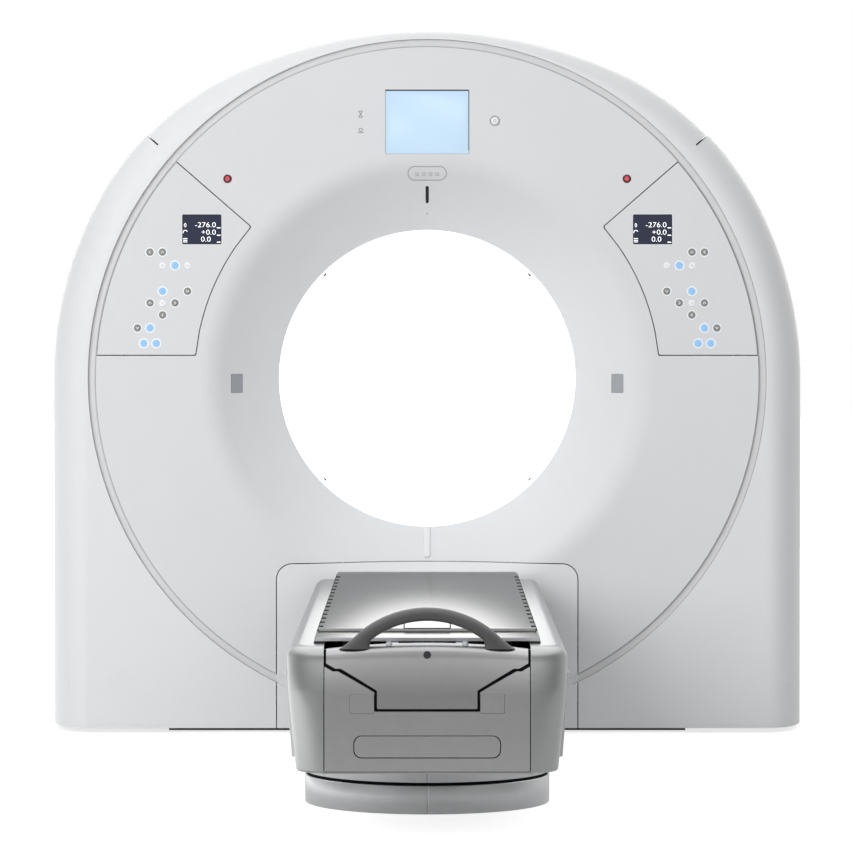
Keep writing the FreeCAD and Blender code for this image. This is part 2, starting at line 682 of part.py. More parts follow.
def build_frame():
    iso = "iso_height"
    foot = box("-base_width/2", "-base_length/2", "0", "base_width", "base_length", "base_plate")
    beam = box("base_width/2 - beam_width", "-base_length/2", "base_plate", "beam_width", "base_length",
               "beam_height")
    arm = box("base_width/2", "-beam_width/2", "base_plate",
              "side_radius - cover_wall - seat_gap - base_width/2", "beam_width", "beam_height")
    holes = group(*[post(f"({a})*anchor_across/2", f"({b})*anchor_along/2", "-1", "anchor_radius",
                         "base_plate + beam_height + 2") for a in (-1, 1) for b in (-1, 1)])
    keep(cut(fuse(foot, beam, mirrored(beam), arm, mirrored(arm)), holes), "gantry_base")

    front_of_upright = "upright_back - upright_wall"
    web = rod("0", front_of_upright, iso, "upright_radius", "upright_wall")
    leg = box("base_width/2 - leg_width", front_of_upright, "base_plate + beam_height", "leg_width",
              "upright_wall", f"{iso} - base_plate - beam_height")
    seat = rod("0", f"{front_of_upright} - 1", iso, "bearing_outer + seat_gap", "upright_wall + 2")
    keep(cut(fuse(web, leg, mirrored(leg)), seat), "gantry_upright")

    bearing_front = "upright_back - bearing_length"
    half_gap = "bearing_clearance/2"
    keep(tube(rod, "0", bearing_front, iso, "bearing_outer", f"bearing_split + {half_gap}",
              "bearing_length"), "bearing_outer_ring")
    keep(tube(rod, "0", bearing_front, iso, f"bearing_split - {half_gap}", "bearing_inner",
              "bearing_length"), "bearing_inner_ring")

    inner = "drum_radius + air_gap"
    stator_front = "drum_back - 2*stator_length"
    stator, _ = ring_body([
        (inner, stator_front), (f"{inner} + 1.6*stator_wall", stator_front),
        (f"{inner} + 1.6*stator_wall", f"{front_of_upright} - seat_gap"),
        (f"{inner} + stator_wall", f"{front_of_upright} - seat_gap"),
        (f"{inner} + stator_wall", f"{stator_front} + stator_length"),
        (inner, f"{stator_front} + stator_length"),
    ])
    keep(stator, "drive_stator")
    slip_back = "drum_back + seat_gap + slip_wall"
    keep(centred_box("0", f"{slip_back} + seat_gap", f"{iso} - slip_middle", "brush_width",
                     f"{front_of_upright} - ({slip_back}) - 2*seat_gap", "brush_height"), "brush_block")


def build_rotor():
    iso, plate_front = "iso_height", "drum_back - drum_plate"
    hub = "bearing_inner - seat_gap"
    rotor, _ = ring_body([
        (f"{hub} - 1.5*drum_wall", plate_front), ("drum_radius - drum_wall", plate_front),
        ("drum_radius - drum_wall", "drum_front"), ("drum_radius", "drum_front"),
        ("drum_radius", "drum_back"), (hub, "drum_back"), (hub, "upright_back"),
        (f"{hub} - 1.5*drum_wall", "upright_back"),
    ])
    keep(rotor, "rotor_drum")
    keep(tube(rod, "0", "drum_back + seat_gap", iso, "slip_middle + slip_width/2",
              "slip_middle - slip_width/2", "slip_wall"), "slip_ring")

    # What the drum carries stands on the front of its plate.
    def on_plate(x, z, length, depth, height):
        return centred_box(x, f"{plate_front} - seat_gap - ({depth})", f"{iso} + ({z})", length, depth, height)

    housing = rod("0", f"{plate_front} - seat_gap - tube_length", f"{iso} + focus_radius + 0.3*tube_radius",
                  "tube_radius", "tube_length")
    keep(housing, "xray_tube")
    below = "focus_radius - 0.7*tube_radius - seat_gap"
    keep(on_plate("0", f"({below} + bore_radius + beam_room)/2", "2.6*tube_radius", "0.8*tube_length",
                  f"{below} - bore_radius - beam_room"), "collimator")

    focus = f"{iso} + focus_radius"
    reach = "detector_distance + 2*detector_depth"
    arc = tube(rod, "0", f"{plate_front} - seat_gap - detector_length", focus,
               "detector_distance + detector_depth", "detector_distance", "detector_length")
    fan = plate([("0", focus), (f"({reach})*tan(fan_angle/2)", f"{focus} - ({reach})"),
                 (f"-({reach})*tan(fan_angle/2)", f"{focus} - ({reach})")],
                "-gantry_depth/2", "gantry_depth")
    keep(common(arc, fan), "detector_array")

    side = "drum_radius - drum_wall - 0.62*unit_depth - unit_room"
    unit = on_plate(side, "0", "unit_depth", "tube_length", "1.4*unit_depth")
    keep(mirrored(unit), "hv_generator")
    fins = group(*[
        centred_box(side, f"{plate_front} - 2*tube_length", f"{iso} + ({step} - 4)*0.15*unit_depth",
                    "0.8*unit_depth", "1.3*tube_length", "0.05*unit_depth") for step in range(9)
    ])
    keep(cut(unit, fins), "cooling_unit")


# ---------------------------------------------------------------- couch


def couch_form(inset):
    """The couch's rounded body, moved in by an inset: side view, plan and cross-section in common."""
    front, back = f"couch_front + {inset}", f"couch_back - ({inset})"
    top, low, belly = f"couch_top - ({inset})", f"couch_bottom + {inset}", "couch_belly"
    half, foot_half = f"couch_width/2 - ({inset})", f"couch_width/2 - couch_taper - ({inset})"

    side = new_body()
    side_pad = pad(side, outline(side, "YZ_Plane", [
        (f"{front} + couch_bulge", top), (front, belly), (f"{front} + 0.4*couch_bulge", low),
        (back, low), (back, top),
    ]), "2*couch_width", both_sides=True)

    def along_x(edge, up, forward):
        points = [vertex.Point for vertex in edge.Vertexes]
        level = all(abs(p.z - size(up)) < 0.01 and abs(p.y - size(forward)) < 0.01 for p in points)
        return level and abs(points[0].x - points[-1].x) > 1

    belly_round = rounded(side, side_pad, lambda edge: along_x(edge, belly, front), f"14*couch_bulge - ({inset})")
    rounded(side, belly_round, lambda edge: along_x(edge, top, f"{front} + couch_bulge"), f"0.8*couch_bulge - ({inset})")

    def upright(edge):
        points = [vertex.Point for vertex in edge.Vertexes]
        return abs(points[0].z - points[-1].z) > 1

    plan = new_body()
    bind(plan, z="couch_bottom - couch_top")
    plan_pad = pad(plan, outline(plan, "XY_Plane", [
        (f"-({half})", front), (half, front), (half, back), (f"-({half})", back)]), "3*couch_top")
    rounded(plan, plan_pad, upright, f"couch_corner - ({inset})")

    section = new_body()
    bind(section, y="couch_front - couch_width")
    section_pad = pad(section, outline(section, "XZ_Plane", [
        (f"-({foot_half})", low), (foot_half, low), (half, "couch_shoulder"), (half, top),
        (f"-({half})", top), (f"-({half})", "couch_shoulder"),
    ]), "3*couch_width - couch_front", reversed_=True)

    def lengthwise_at(up):
        def test(edge):
            points = [vertex.Point for vertex in edge.Vertexes]
            return abs(points[0].y - points[-1].y) > 1 and all(abs(p.z - size(up)) < 0.01 for p in points)
        return test

    flanks = rounded(section, section_pad, lengthwise_at(top), f"couch_edge - ({inset})")
    rounded(section, flanks, lengthwise_at("couch_shoulder"), "couch_width/2")
    return common(side, plan, section)


def cradle_prism(grow, y_from, length):
    """The outline of the end cover and of the trough behind it, carried along the couch."""
    right = [
        (f"keel_width + {grow}", f"keel_low - ({grow})"), (f"keel_width + {grow}", f"keel_top - 0.6*({grow})"),
        (f"cradle_slope + {grow}", f"cradle_step_low - ({grow})"),
        (f"cradle_step + {grow}", f"cradle_step_low - ({grow})"),
        (f"cradle_side + {grow}", f"cradle_side_low - ({grow})"), (f"cradle_side + {grow}", "2*couch_top"),
    ]
    left = [(f"-({across})", up) for across, up in reversed(right)]
    body = new_body()
    bind(body, y=y_from)
    pad(body, outline(body, "XZ_Plane", right + left), length, reversed_=True)
    return body


def build_couch_covers():
    shell = cut(couch_form("0"), couch_form("couch_wall"))
    skirt_hole = post("0", "column_along", "0", "foot_radius + 1.5*seat_gap", "2*couch_bottom")
    shell = cut(shell, skirt_hole)
    edge = "panel_split + couch_seam/2"
    pair("couch_cover", common(shell, box(edge, "2*couch_front", "0", "couch_width", "-2*couch_front",
                                          "2*couch_top")))

    inner = "panel_split - couch_seam/2"
    above_pan = "couch_bottom + couch_wall + couch_seam"
    front_zone = box(f"-({inner})", "2*couch_front", above_pan, f"2*({inner})", "-couch_front + panel_depth",
                     "2*couch_top")
    opening = cradle_prism("end_gap", "2*couch_front", "-couch_front + 2*panel_depth")
    panel = cut(common(shell, front_zone), opening)

    def access(gap):
        height = f"access_height - 2*({gap})"
        corners = rectangle(f"access_width - 2*({gap})", f"access_up + {gap}", f"access_up + {gap} + {height}")
        return plate(corners, "2*couch_front", "-2*couch_front", "access_corner", True)

    front = box("-couch_width", "2*couch_front", "0", "2*couch_width", "-couch_front + couch_corner", "2*couch_top")
    keep(cut(panel, common(front, access("0"))), "couch_front_panel")
    keep(common(shell, common(front, access("couch_seam"))), "access_panel")

    rear_zone = box(f"-({inner})", "couch_back - couch_corner", above_pan, f"2*({inner})", "couch_width",
                    "couch_top - couch_edge - couch_bottom")
    keep(common(shell, rear_zone), "couch_rear_panel")
    pan_zone = box(f"-({inner})", "2*couch_front", "0", f"2*({inner})", "-2*couch_front", above_pan + " - couch_seam")
    keep(common(shell, pan_zone), "couch_bottom_pan")

    # Bumper strips along both flanks, shaped to the covers behind them.
    strip = new_body()
    bind(strip, y="couch_front + 1.6*couch_corner")
    outside = "couch_width/2 + strip_rise"
    pad(strip, outline(strip, "XZ_Plane", [
        ("0.4*couch_width", "strip_low"), (f"{outside} - 0.7*couch_taper", "strip_low"),
        (outside, "strip_high"), ("0.4*couch_width", "strip_high"),
    ]), "couch_back - couch_front - 2.6*couch_corner", reversed_=True)
    keep(pair_group(cut(strip, couch_form("-seat_gap"))), "side_strips")


def build_column():
    y = "column_along"
    keep(tube(post, "0", y, "0", "foot_radius", "foot_radius - foot_wall", "foot_height"), "couch_foot_ring")

    def square_tube(width, low, high):
        def core(side, base, rise):
            return box(f"-({side})/2", f"{y} - ({side})/2", base, side, side, rise)

        rise = f"({high}) - ({low})"
        return cut(core(width, low, rise), core(f"({width}) - 2*column_wall", f"{low} - 1", f"{rise} + 2"))

    plate_disc = post("0", y, "0", "foot_radius - foot_wall - seat_gap", "foot_plate")
    anchor = group(*[
        post(f"foot_anchor_circle/2*cos({turn}*360/foot_anchor_count)",
             f"{y} + foot_anchor_circle/2*sin({turn}*360/foot_anchor_count)", "-1", "foot_anchor_radius",
             "foot_plate + 2") for turn in range(int(size("foot_anchor_count")))
    ])
    outer = square_tube("column_width", "foot_plate", "skirt_top")
    keep(fuse(cut(plate_disc, anchor), outer), "couch_foot_plate")
    inset = "2*(column_wall + column_clearance)"
    keep(square_tube(f"column_width - {inset}", "foot_plate + 2", "skirt_top + 1"), "middle_column")
    keep(square_tube(f"column_width - 2*{inset}", "foot_plate + 4", "spar_low"), "inner_column")

    # Three skirts, one inside the other, whose lips meet when the couch is up.
    def skirt(step, low, lip_in, lip_out):
        outside = f"foot_radius - {step}*(skirt_wall + skirt_clearance)"
        sleeve = tube(post, "0", y, low, outside, f"{outside} - skirt_wall", f"skirt_top - ({low})")
        reach = "(skirt_clearance - seat_gap)"
        parts = [sleeve]
        if lip_in:
            parts.append(tube(post, "0", y, low, outside, f"{outside} - skirt_wall - {reach}", "skirt_lip"))
        if lip_out:
            parts.append(tube(post, "0", y, "skirt_top - skirt_lip", f"{outside} + {reach}",
                              f"{outside} - skirt_wall", "skirt_lip"))
        return fuse(*parts)

    keep(skirt(0, "foot_height + foot_gap", True, False), "outer_skirt")
    keep(skirt(1, "foot_plate + 4", True, True), "middle_skirt")
    keep(skirt(2, "foot_plate", False, True), "inner_skirt")


def build_running_gear():
    start, end = "couch_front + 2*panel_depth", "couch_back - couch_wall - seat_gap"
    span = f"({end}) - ({start})"
    wall = "spar_wall"
    spar = box("spar_inner", start, "spar_low", "spar_width", span, "spar_height")
    core = box(f"spar_inner + {wall}", f"{start} - 1", f"spar_low + {wall}", f"spar_width - 2*{wall}",
               f"{span} + 2", f"spar_height - 2*{wall}")
    hollow = cut(spar, core)

    def cross(y_from, length):
        return box("-spar_inner", y_from, "spar_low", "2*spar_inner", length, "cross_wall")

    def bracket(y_from):
        return box("spar_inner + spar_width", y_from, "spar_low", "couch_width", "spar_width", "spar_height")

    crosses = [cross("column_along - column_width/2", "column_width"), cross(start, "spar_width"),
               cross(f"{end} - spar_width", "spar_width"), cross("column_along/2", "spar_width")]
    brackets = [bracket(place) for place in (start, "column_along - spar_width/2", "column_along/2",
                                             f"{end} - couch_corner - spar_width")]
    arms = common(group(*brackets), couch_form("couch_wall + seat_gap"))
    chassis = fuse(hollow, mirrored(hollow), arms, mirrored(arms), *crosses)
    keep(chassis, "couch_chassis")

    rail_low = "spar_low + spar_height"
    rail = box("rail_across - rail_width/2", start, rail_low, "rail_width", span, "rail_height")
    keep(pair_group(rail), "slide_rails")

    # The carriage: four blocks astride the rails, a plate, and two ribs that carry the table top.
    carriage_start = "couch_front + end_depth + seat_gap"
    bed_low = "cradle_step_low - 2*carriage_wall"
    bed = box("-rail_across - block_width/2", carriage_start, bed_low, "2*rail_across + block_width",
              "carriage_length", "carriage_wall")
    block_low = f"{rail_low} + 0.3*rail_height"
    blocks = []
    for place in (f"{start} + seat_gap", f"{carriage_start} + carriage_length - block_length"):
        block = box("rail_across - block_width/2", place, block_low, "block_width", "block_length",
                    f"{bed_low} - ({block_low})")
        groove = box("rail_across - rail_width/2 - seat_gap", f"{place} - 1", f"{block_low} - 1",
                     "rail_width + 2*seat_gap", "block_length + 2",
                     f"{rail_low} + rail_height + seat_gap - ({block_low}) + 1")
        blocks.append(cut(block, groove))
    rib = box("0.4*rail_across", carriage_start, f"{bed_low} + carriage_wall", "2*carriage_wall",
              "carriage_length", f"table_height - overlay_step - table_wall - ({bed_low}) - carriage_wall")
    keep(fuse(bed, *blocks, *[mirrored(b) for b in blocks], rib, mirrored(rib)), "table_carriage")


def build_table():
    low = "table_height - overlay_step - table_wall"
    keep(plate_along("table_width + 2*table_lap", "table_near", "table_far", low, "table_wall"), "table_top")
    sheet_top = plate_along("table_width", "overlay_near", "table_far", f"{low} + table_wall", "overlay_step")
    notches = group(*[
        box("table_width/2 - notch_depth", f"overlay_near + ({step} + 0.5)*notch_pitch - notch_width/2",
            low, "2*notch_depth", "notch_width", "2*table_wall")
        for step in range(int(size("notch_count")))
    ])
    keep(cut(sheet_top, notches, mirrored(notches)), "index_overlay")

    # The end cover fills the trough's front and runs in with the table.
    form, hollow = couch_form("0"), couch_form("couch_wall")
    zone = box("-couch_width", "2*couch_front", "0", "2*couch_width", "-couch_front + end_depth", "2*couch_top")
    solid = common(form, cradle_prism("0", "2*couch_front", "-2*couch_front"), zone)
    room = common(hollow, cradle_prism("-couch_wall", "2*couch_front", "-2*couch_front"))
    button_hole = rod("0", "2*couch_front", "release_up", "release_radius + button_clearance", "-2*couch_front")
    cover = cut(solid, room, button_hole)
    depth = "release_length + release_travel"
    socket = tube(rod, "0", f"couch_front + end_depth - ({depth})", "release_up",
                  "release_radius + 2*couch_wall", "release_radius + button_clearance", depth)
    # Two moulded stops behind the handle.
    stops = [post(f"{side}*stop_post_across", "couch_front + end_depth - 12", "couch_top - couch_wall",
                  "stop_post_radius", "couch_wall + stop_post_rise") for side in (-1, 1)]
    keep(fuse(cover, socket, *stops), "end_cover")
    keep(rod("0", "couch_front + release_setback", "release_up", "release_radius",
             "release_length"), "release_button")

    # The handle is a bow of round tube whose feet stand on the end cover.
    bow = add("Part::Torus")
    bow.Placement.Rotation = Rotation(Vector(1, 0, 0), 90)
    radius = "(handle_span^2/4 + handle_rise^2)/(2*handle_rise)"
    bind(bow, Radius1=radius, Radius2="handle_radius", x="0", y="couch_front + handle_setback",
         z=f"couch_top + handle_rise - {radius}")
    over = box("-handle_span", "couch_front", "couch_top - handle_radius", "2*handle_span", "2*handle_setback",
               "4*handle_rise")
    keep(cut(common(bow, over), couch_form("-seat_gap")), "table_handle")


def plate_along(width, near, far, low, thickness):
    """A level board centred across the couch, between two places along it."""
    return box(f"-({width})/2", near, low, width, f"({far}) - ({near})", thickness)


# ---------------------------------------------------------------- build and write

build_gantry_covers()
build_controls()
build_frame()
build_rotor()
build_couch_covers()
build_column()
build_running_gear()
build_table()
document.recompute()

failed = [thing.Label for thing in document.Objects if {"Invalid", "Error"} & set(thing.State)]
if failed:
    raise RuntimeError("these objects failed: " + ", ".join(failed))
for label, thing in nodes.items():
    if thing.Shape.isNull() or not thing.Shape.isValid() or not thing.Shape.Solids:
        raise RuntimeError("no sound solid in " + label)

os.makedirs("parts", exist_ok=True)
for label, thing in nodes.items():
    thing.Shape.exportStep(f"parts/{label}.step")
    solids = thing.Shape.Solids
    print(f"{label}: {len(solids)} solids, {sum(s.Volume for s in solids) / 1e6:.3f} litres")
print(f"{len(nodes)} sub-parts written")
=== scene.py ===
import bmesh
import bpy
import numpy as np
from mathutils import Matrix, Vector
from mathutils.geometry import delaunay_2d_cdt


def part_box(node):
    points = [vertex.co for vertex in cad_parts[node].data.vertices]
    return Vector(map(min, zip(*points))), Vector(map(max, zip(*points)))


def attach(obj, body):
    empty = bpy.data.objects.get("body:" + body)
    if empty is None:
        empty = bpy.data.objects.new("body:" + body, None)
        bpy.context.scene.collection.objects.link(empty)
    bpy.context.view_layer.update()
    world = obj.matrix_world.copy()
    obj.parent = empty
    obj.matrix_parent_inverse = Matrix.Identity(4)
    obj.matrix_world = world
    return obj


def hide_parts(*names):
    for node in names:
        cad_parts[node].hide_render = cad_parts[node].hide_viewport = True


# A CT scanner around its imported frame. Metres; +Z up, +Y from the couch into the tunnel.
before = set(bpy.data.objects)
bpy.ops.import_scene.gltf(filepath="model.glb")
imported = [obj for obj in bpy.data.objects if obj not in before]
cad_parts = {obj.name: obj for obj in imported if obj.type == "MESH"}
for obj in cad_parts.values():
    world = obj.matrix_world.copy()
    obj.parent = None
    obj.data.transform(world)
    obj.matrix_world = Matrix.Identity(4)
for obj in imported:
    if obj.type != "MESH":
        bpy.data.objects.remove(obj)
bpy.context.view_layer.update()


def corners(node):
    low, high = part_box(node)
    return np.array(low), np.array(high)


linerLow, linerHigh = corners("bore_liner")
discLow, discHigh = corners("front_cover")
trimLow, trimHigh = corners("front_trim_ring")
sideLow, sideHigh = corners("right_side_cover")
dockLow, dockHigh = corners("docking_panel")
mm = 0.001
isoHeight = float((linerLow[2] + linerHigh[2]) / 2)
gantryShape = {
    "front": float(discLow[1]), "discRadius": float(discHigh[0]), "ringRadius": float(trimHigh[0]) + 0.4 * mm,
    "grooveFloor": float(trimLow[1]), "sideRadius": float(sideHigh[0]), "coverFoot": float(sideLow[2]),
    "boreRadius": float(linerHigh[0]) - 4 * mm, "tunnelHalf": float(linerHigh[1]) + 0.3 * mm,
    "flareMouth": 640 * mm, "flareBlend": 100 * mm, "topRise": 1053 * mm, "topArc": 1420 * mm,
    "shoulder": (38, 56), "rollDepth": 240 * mm, "seamTurn": 49, "gap": 3 * mm, "wall": 5 * mm,
    "fillerReach": 1073 * mm, "seamDrop": 4.5 * mm,
    "flat": (46, 7, 15 * mm),  # where the shoulder is flatter, over how many degrees, and by how much
}


# small helpers for meshes

def gridFaces(rows, columns, closeRows=False):
    # quads between neighbouring rows and columns; a closed grid joins its last row to its first
    row, column = np.meshgrid(np.arange(rows if closeRows else rows - 1), np.arange(columns - 1), indexing="ij")
    after = (row + 1) % rows
    here, there = row * columns + column, after * columns + column
    quads = [here, here + 1, there + 1, there]
    return np.stack(quads, -1).reshape(-1, 4)


def gridOf(points, closeRows=False):
    rows, columns = points.shape[:2]
    return points.reshape(-1, 3), gridFaces(rows, columns, closeRows)


def joined(*parts):
    # several (vertices, faces) as one; faces may be triangles in one part and quads in another
    vertices, faces, start = [], [], 0
    for points, polygons in parts:
        vertices.append(points)
        faces += [[int(index) + start for index in polygon] for polygon in polygons]
        start += len(points)
    return np.concatenate(vertices), faces


def mirroredPart(part):
    points, faces = part
    return points * np.array([-1, 1, 1]), [list(reversed(face)) for face in np.asarray(faces).tolist()]


def makePiece(name, part, body, material, replaces=(), away=None, smooth=True):
    # away is a point or "front": the faces are turned so that most look away from it, or towards the couch
    vertices, faces = part
    mesh = bpy.data.meshes.new(name)
    mesh.from_pydata(np.asarray(vertices, float).tolist(), [], [list(face) for face in faces])
    built = bmesh.new()
    built.from_mesh(mesh)
    bmesh.ops.remove_doubles(built, verts=built.verts, dist=0.01 * mm)
    bmesh.ops.dissolve_degenerate(built, edges=built.edges, dist=0.001 * mm)
    if away is not None:
        centre = None if isinstance(away, str) else Vector(away)
        score = 0.0
        for face in built.faces:
            look = Vector((0, -1, 0)) if centre is None else face.calc_center_median() - centre
            score += face.calc_area() * face.normal.dot(look)
        if score < 0:
            bmesh.ops.reverse_faces(built, faces=built.faces)
    built.to_mesh(mesh)
    built.free()
    mesh.polygons.foreach_set("use_smooth", np.full(len(mesh.polygons), smooth))
    mesh.materials.append(material)
    piece = bpy.data.objects.new(name, mesh)
    bpy.context.scene.collection.objects.link(piece)
    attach(piece, body)
    if replaces:
        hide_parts(*([replaces] if isinstance(replaces, str) else replaces))
    return piece


def thicken(piece, thickness):
    wall = piece.modifiers.new("wall", "SOLIDIFY")
    wall.thickness = thickness
    wall.offset = -1
    wall.use_even_offset = False
    return piece


def roundEdges(piece, width, segments=2, turn=40, weighted=True):
    bevel = piece.modifiers.new("edges", "BEVEL")
    bevel.width = width
    bevel.segments = segments
    bevel.limit_method = "ANGLE"
    bevel.angle_limit = np.radians(turn)
    bevel.miter_outer = "MITER_ARC"
    if weighted:
        piece.modifiers.new("shading", "WEIGHTED_NORMAL").keep_sharp = True
    return piece


def dressNode(node, material, edge=0.0, turn=30):
    # a node of the frame keeps its shape: doubles merged, smooth by angle, and a small round on its edges
    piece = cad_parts[node]
    piece.data.materials.clear()
    piece.data.materials.append(material)
    weld = piece.modifiers.new("weld", "WELD")
    weld.merge_threshold = 0.02 * mm
    piece.data.polygons.foreach_set("use_smooth", np.full(len(piece.data.polygons), True))
    if edge:
        roundEdges(piece, edge, 2, turn)
    else:
        split = piece.modifiers.new("sharp", "EDGE_SPLIT")
        split.split_angle = np.radians(turn)
    return piece


def orient(piece, score):
    # turns a sheet the right way out: score adds up over its faces and must come out positive
    total = sum(score(face) * face.area for face in piece.data.polygons)
    if total < 0:
        piece.data.flip_normals()
    return piece


def faceFront(piece):
    # turns a sheet towards the couch
    return orient(piece, lambda face: -face.normal.y)


def faceAxis(piece):
    # turns a sheet towards the tunnel's axis
    return orient(piece, lambda face: -(face.center.x * face.normal.x + (face.center.z - isoHeight) * face.normal.z))


def dense(loop, step):
    # the same outline with extra points on its long stretches
    loop = np.asarray(loop, float)
    pieces = []
    for start, end in zip(loop, np.roll(loop, -1, axis=0)):
        count = max(int(np.ceil(np.hypot(*(end - start)) / step)), 1)
        pieces.append(start + (end - start) * np.arange(count)[:, None] / count)
    return np.concatenate(pieces)


def facedPart(loops, inside, surface, spots=(), step=8 * mm):
    # a sheet over a flat map: closed outlines and free spots are joined by triangles, those whose middle
    # lies inside are kept, and surface(u, v) gives the place of each point of the map
    loops = [dense(loop, step) for loop in loops]
    points = list(loops)
    edges, start = [], 0
    for loop in loops:
        count = len(loop)
        edges += [(start + i, start + (i + 1) % count) for i in range(count)]
        start += count
    if len(spots):
        points.append(np.asarray(spots))
    flat = np.concatenate(points)
    result = delaunay_2d_cdt([Vector(p) for p in flat.tolist()], edges, [], 0, 1e-7)
    flat = np.array([tuple(p) for p in result[0]])
    triangles = np.array(result[2])
    middle = flat[triangles].mean(axis=1)
    triangles = triangles[inside(middle[:, 0], middle[:, 1])]
    used, triangles = np.unique(triangles, return_inverse=True)
    flat = flat[used]
    return surface(flat[:, 0], flat[:, 1]), triangles.reshape(-1, 3)


def roundedLoop(points, radii, steps=8):
    # a polygon whose corners are arcs of the radii given, as an open list of points
    points = np.asarray(points, float)
    out = []
    for index, point in enumerate(points):
        before, after = points[index - 1] - point, points[(index + 1) % len(points)] - point
        radius = radii if np.isscalar(radii) else radii[index]
        if radius <= 0:
            out.append(point[None])
            continue
        first, second = before / np.hypot(*before), after / np.hypot(*after)
        half = np.arccos(np.clip(first @ second, -1, 1)) / 2
        bisector = (first + second) / np.hypot(*(first + second))
        centre = point + bisector * radius / np.sin(half)
        start, end = point + first * radius / np.tan(half), point + second * radius / np.tan(half)
        a, b = (np.arctan2(*(p - centre)[::-1]) for p in (start, end))
        turn = (b - a + np.pi) % (2 * np.pi) - np.pi
        turns = a + turn * np.linspace(0, 1, steps)
        out.append(centre + radius * np.stack([np.cos(turns), np.sin(turns)], -1))
    return np.concatenate(out)


def insideLoop(loop, x, z):
    # even-odd test of points against a closed outline
    after = np.roll(loop, -1, axis=0)
    hit = np.zeros(np.shape(x), bool)
    for (x0, z0), (x1, z1) in zip(loop, after):
        if z0 == z1:
            continue
        crosses = (z0 > z) != (z1 > z)
        hit ^= crosses & (x < (x1 - x0) * (z - z0) / (z1 - z0) + x0)
    return hit


def within(loop):
    return lambda x, z: insideLoop(loop, x, z)


def between(outer, core):
    # a test for points inside one outline and outside another
    return lambda x, z: insideLoop(outer, x, z) & ~insideLoop(core, x, z)


def leaveOut(holes, keep, x, z):
    # drops the points that lie in any of the holes
    for hole in holes:
        keep &= ~insideLoop(hole, x, z)
    return keep


def rectangle(low, high):
    # the outline of a box seen from the couch
    return np.array([[low[0], low[2]], [high[0], low[2]], [high[0], high[2]], [low[0], high[2]]])


def ringLoop(radius, count=360, centre=(0, 0)):
    turns = np.linspace(0, 2 * np.pi, count, endpoint=False)
    return np.stack([centre[0] + radius * np.sin(turns), centre[1] + radius * np.cos(turns)], -1)


def turned(profile, turns, centre=None):
    # a profile of (radius, along) carried about an axis parallel to the tunnel's
    x, z = centre if centre is not None else (0, isoHeight)
    radius, along = np.asarray(profile).T
    turns = np.asarray(turns)[:, None]
    return np.stack([x + radius * np.sin(turns), np.broadcast_to(along, (len(turns), len(along))),
                     z + radius * np.cos(turns)], -1)


def upright(profile, turns, centre):
    # a profile of (radius, height) carried about an upright axis at (x, y)
    radius, height = np.asarray(profile).T
    turns = np.asarray(turns)[:, None]
    return np.stack([centre[0] + radius * np.sin(turns), centre[1] - radius * np.cos(turns),
                     np.broadcast_to(height, (len(turns), len(height)))], -1)


fullTurn = np.linspace(0, 2 * np.pi, 240, endpoint=False)


# materials: each is named for what the real surface is, or for the painted shade or glow it stands in for

def linear(hexText):
    channels = np.array([int(hexText[i:i + 2], 16) for i in (1, 3, 5)]) / 255
    values = np.where(channels <= 0.04045, channels / 12.92, ((channels + 0.055) / 1.055) ** 2.4)
    return (*values.tolist(), 1.0)


def addNode(tree, kind, values=None, links=None, **settings):
    node = tree.nodes.new("ShaderNode" + kind)
    for key, value in settings.items():
        setattr(node, key, value)
    for key, value in (values or {}).items():
        node.inputs[key].default_value = value
    for key, source in (links or {}).items():
        tree.links.new(source, node.inputs[key])
    return node


def newMaterial(name, **sockets):
    material = bpy.data.materials.new(name)
    material.use_nodes = True
    tree = material.node_tree
    shader = tree.nodes["Principled BSDF"]
    for socket, value in sockets.items():
        shader.inputs[socket.replace("_", " ")].default_value = value
    return material, tree, shader


def grained(name, tones, grain, relief, stretch=(1, 1, 1), cloud=None, **sockets):
    # two tones mixed by a soft noise, and a finer noise that lifts the surface; grain and cloud in metres
    material, tree, shader = newMaterial(name, **sockets)
    place = addNode(tree, "TexCoord").outputs["Object"]
    scaled = addNode(tree, "Mapping", {"Scale": tuple(s for s in stretch)}, {"Vector": place}).outputs["Vector"]
    soft = addNode(tree, "TexNoise", {"Scale": 1 / (cloud or 40 * grain), "Detail": 3.0}, {"Vector": scaled})
    mixed = addNode(tree, "Mix", {6: linear(tones[0]), 7: linear(tones[1])}, {0: soft.outputs["Fac"]},
                    data_type="RGBA")
    tree.links.new(mixed.outputs[2], shader.inputs["Base Color"])
    fine = addNode(tree, "TexNoise", {"Scale": 1 / grain, "Detail": 2.0}, {"Vector": scaled})
    bump = addNode(tree, "Bump", {"Strength": 0.35, "Distance": relief}, {"Height": fine.outputs["Fac"]})
    tree.links.new(bump.outputs["Normal"], shader.inputs["Normal"])
    return material


def glowing(name, colour, strength, base="#20242c", roughness=0.25):
    # a lit surface: its own tone under the light that comes through it
    return newMaterial(name, Base_Color=linear(base), Roughness=roughness, Emission_Color=linear(colour),
                       Emission_Strength=strength)[0]


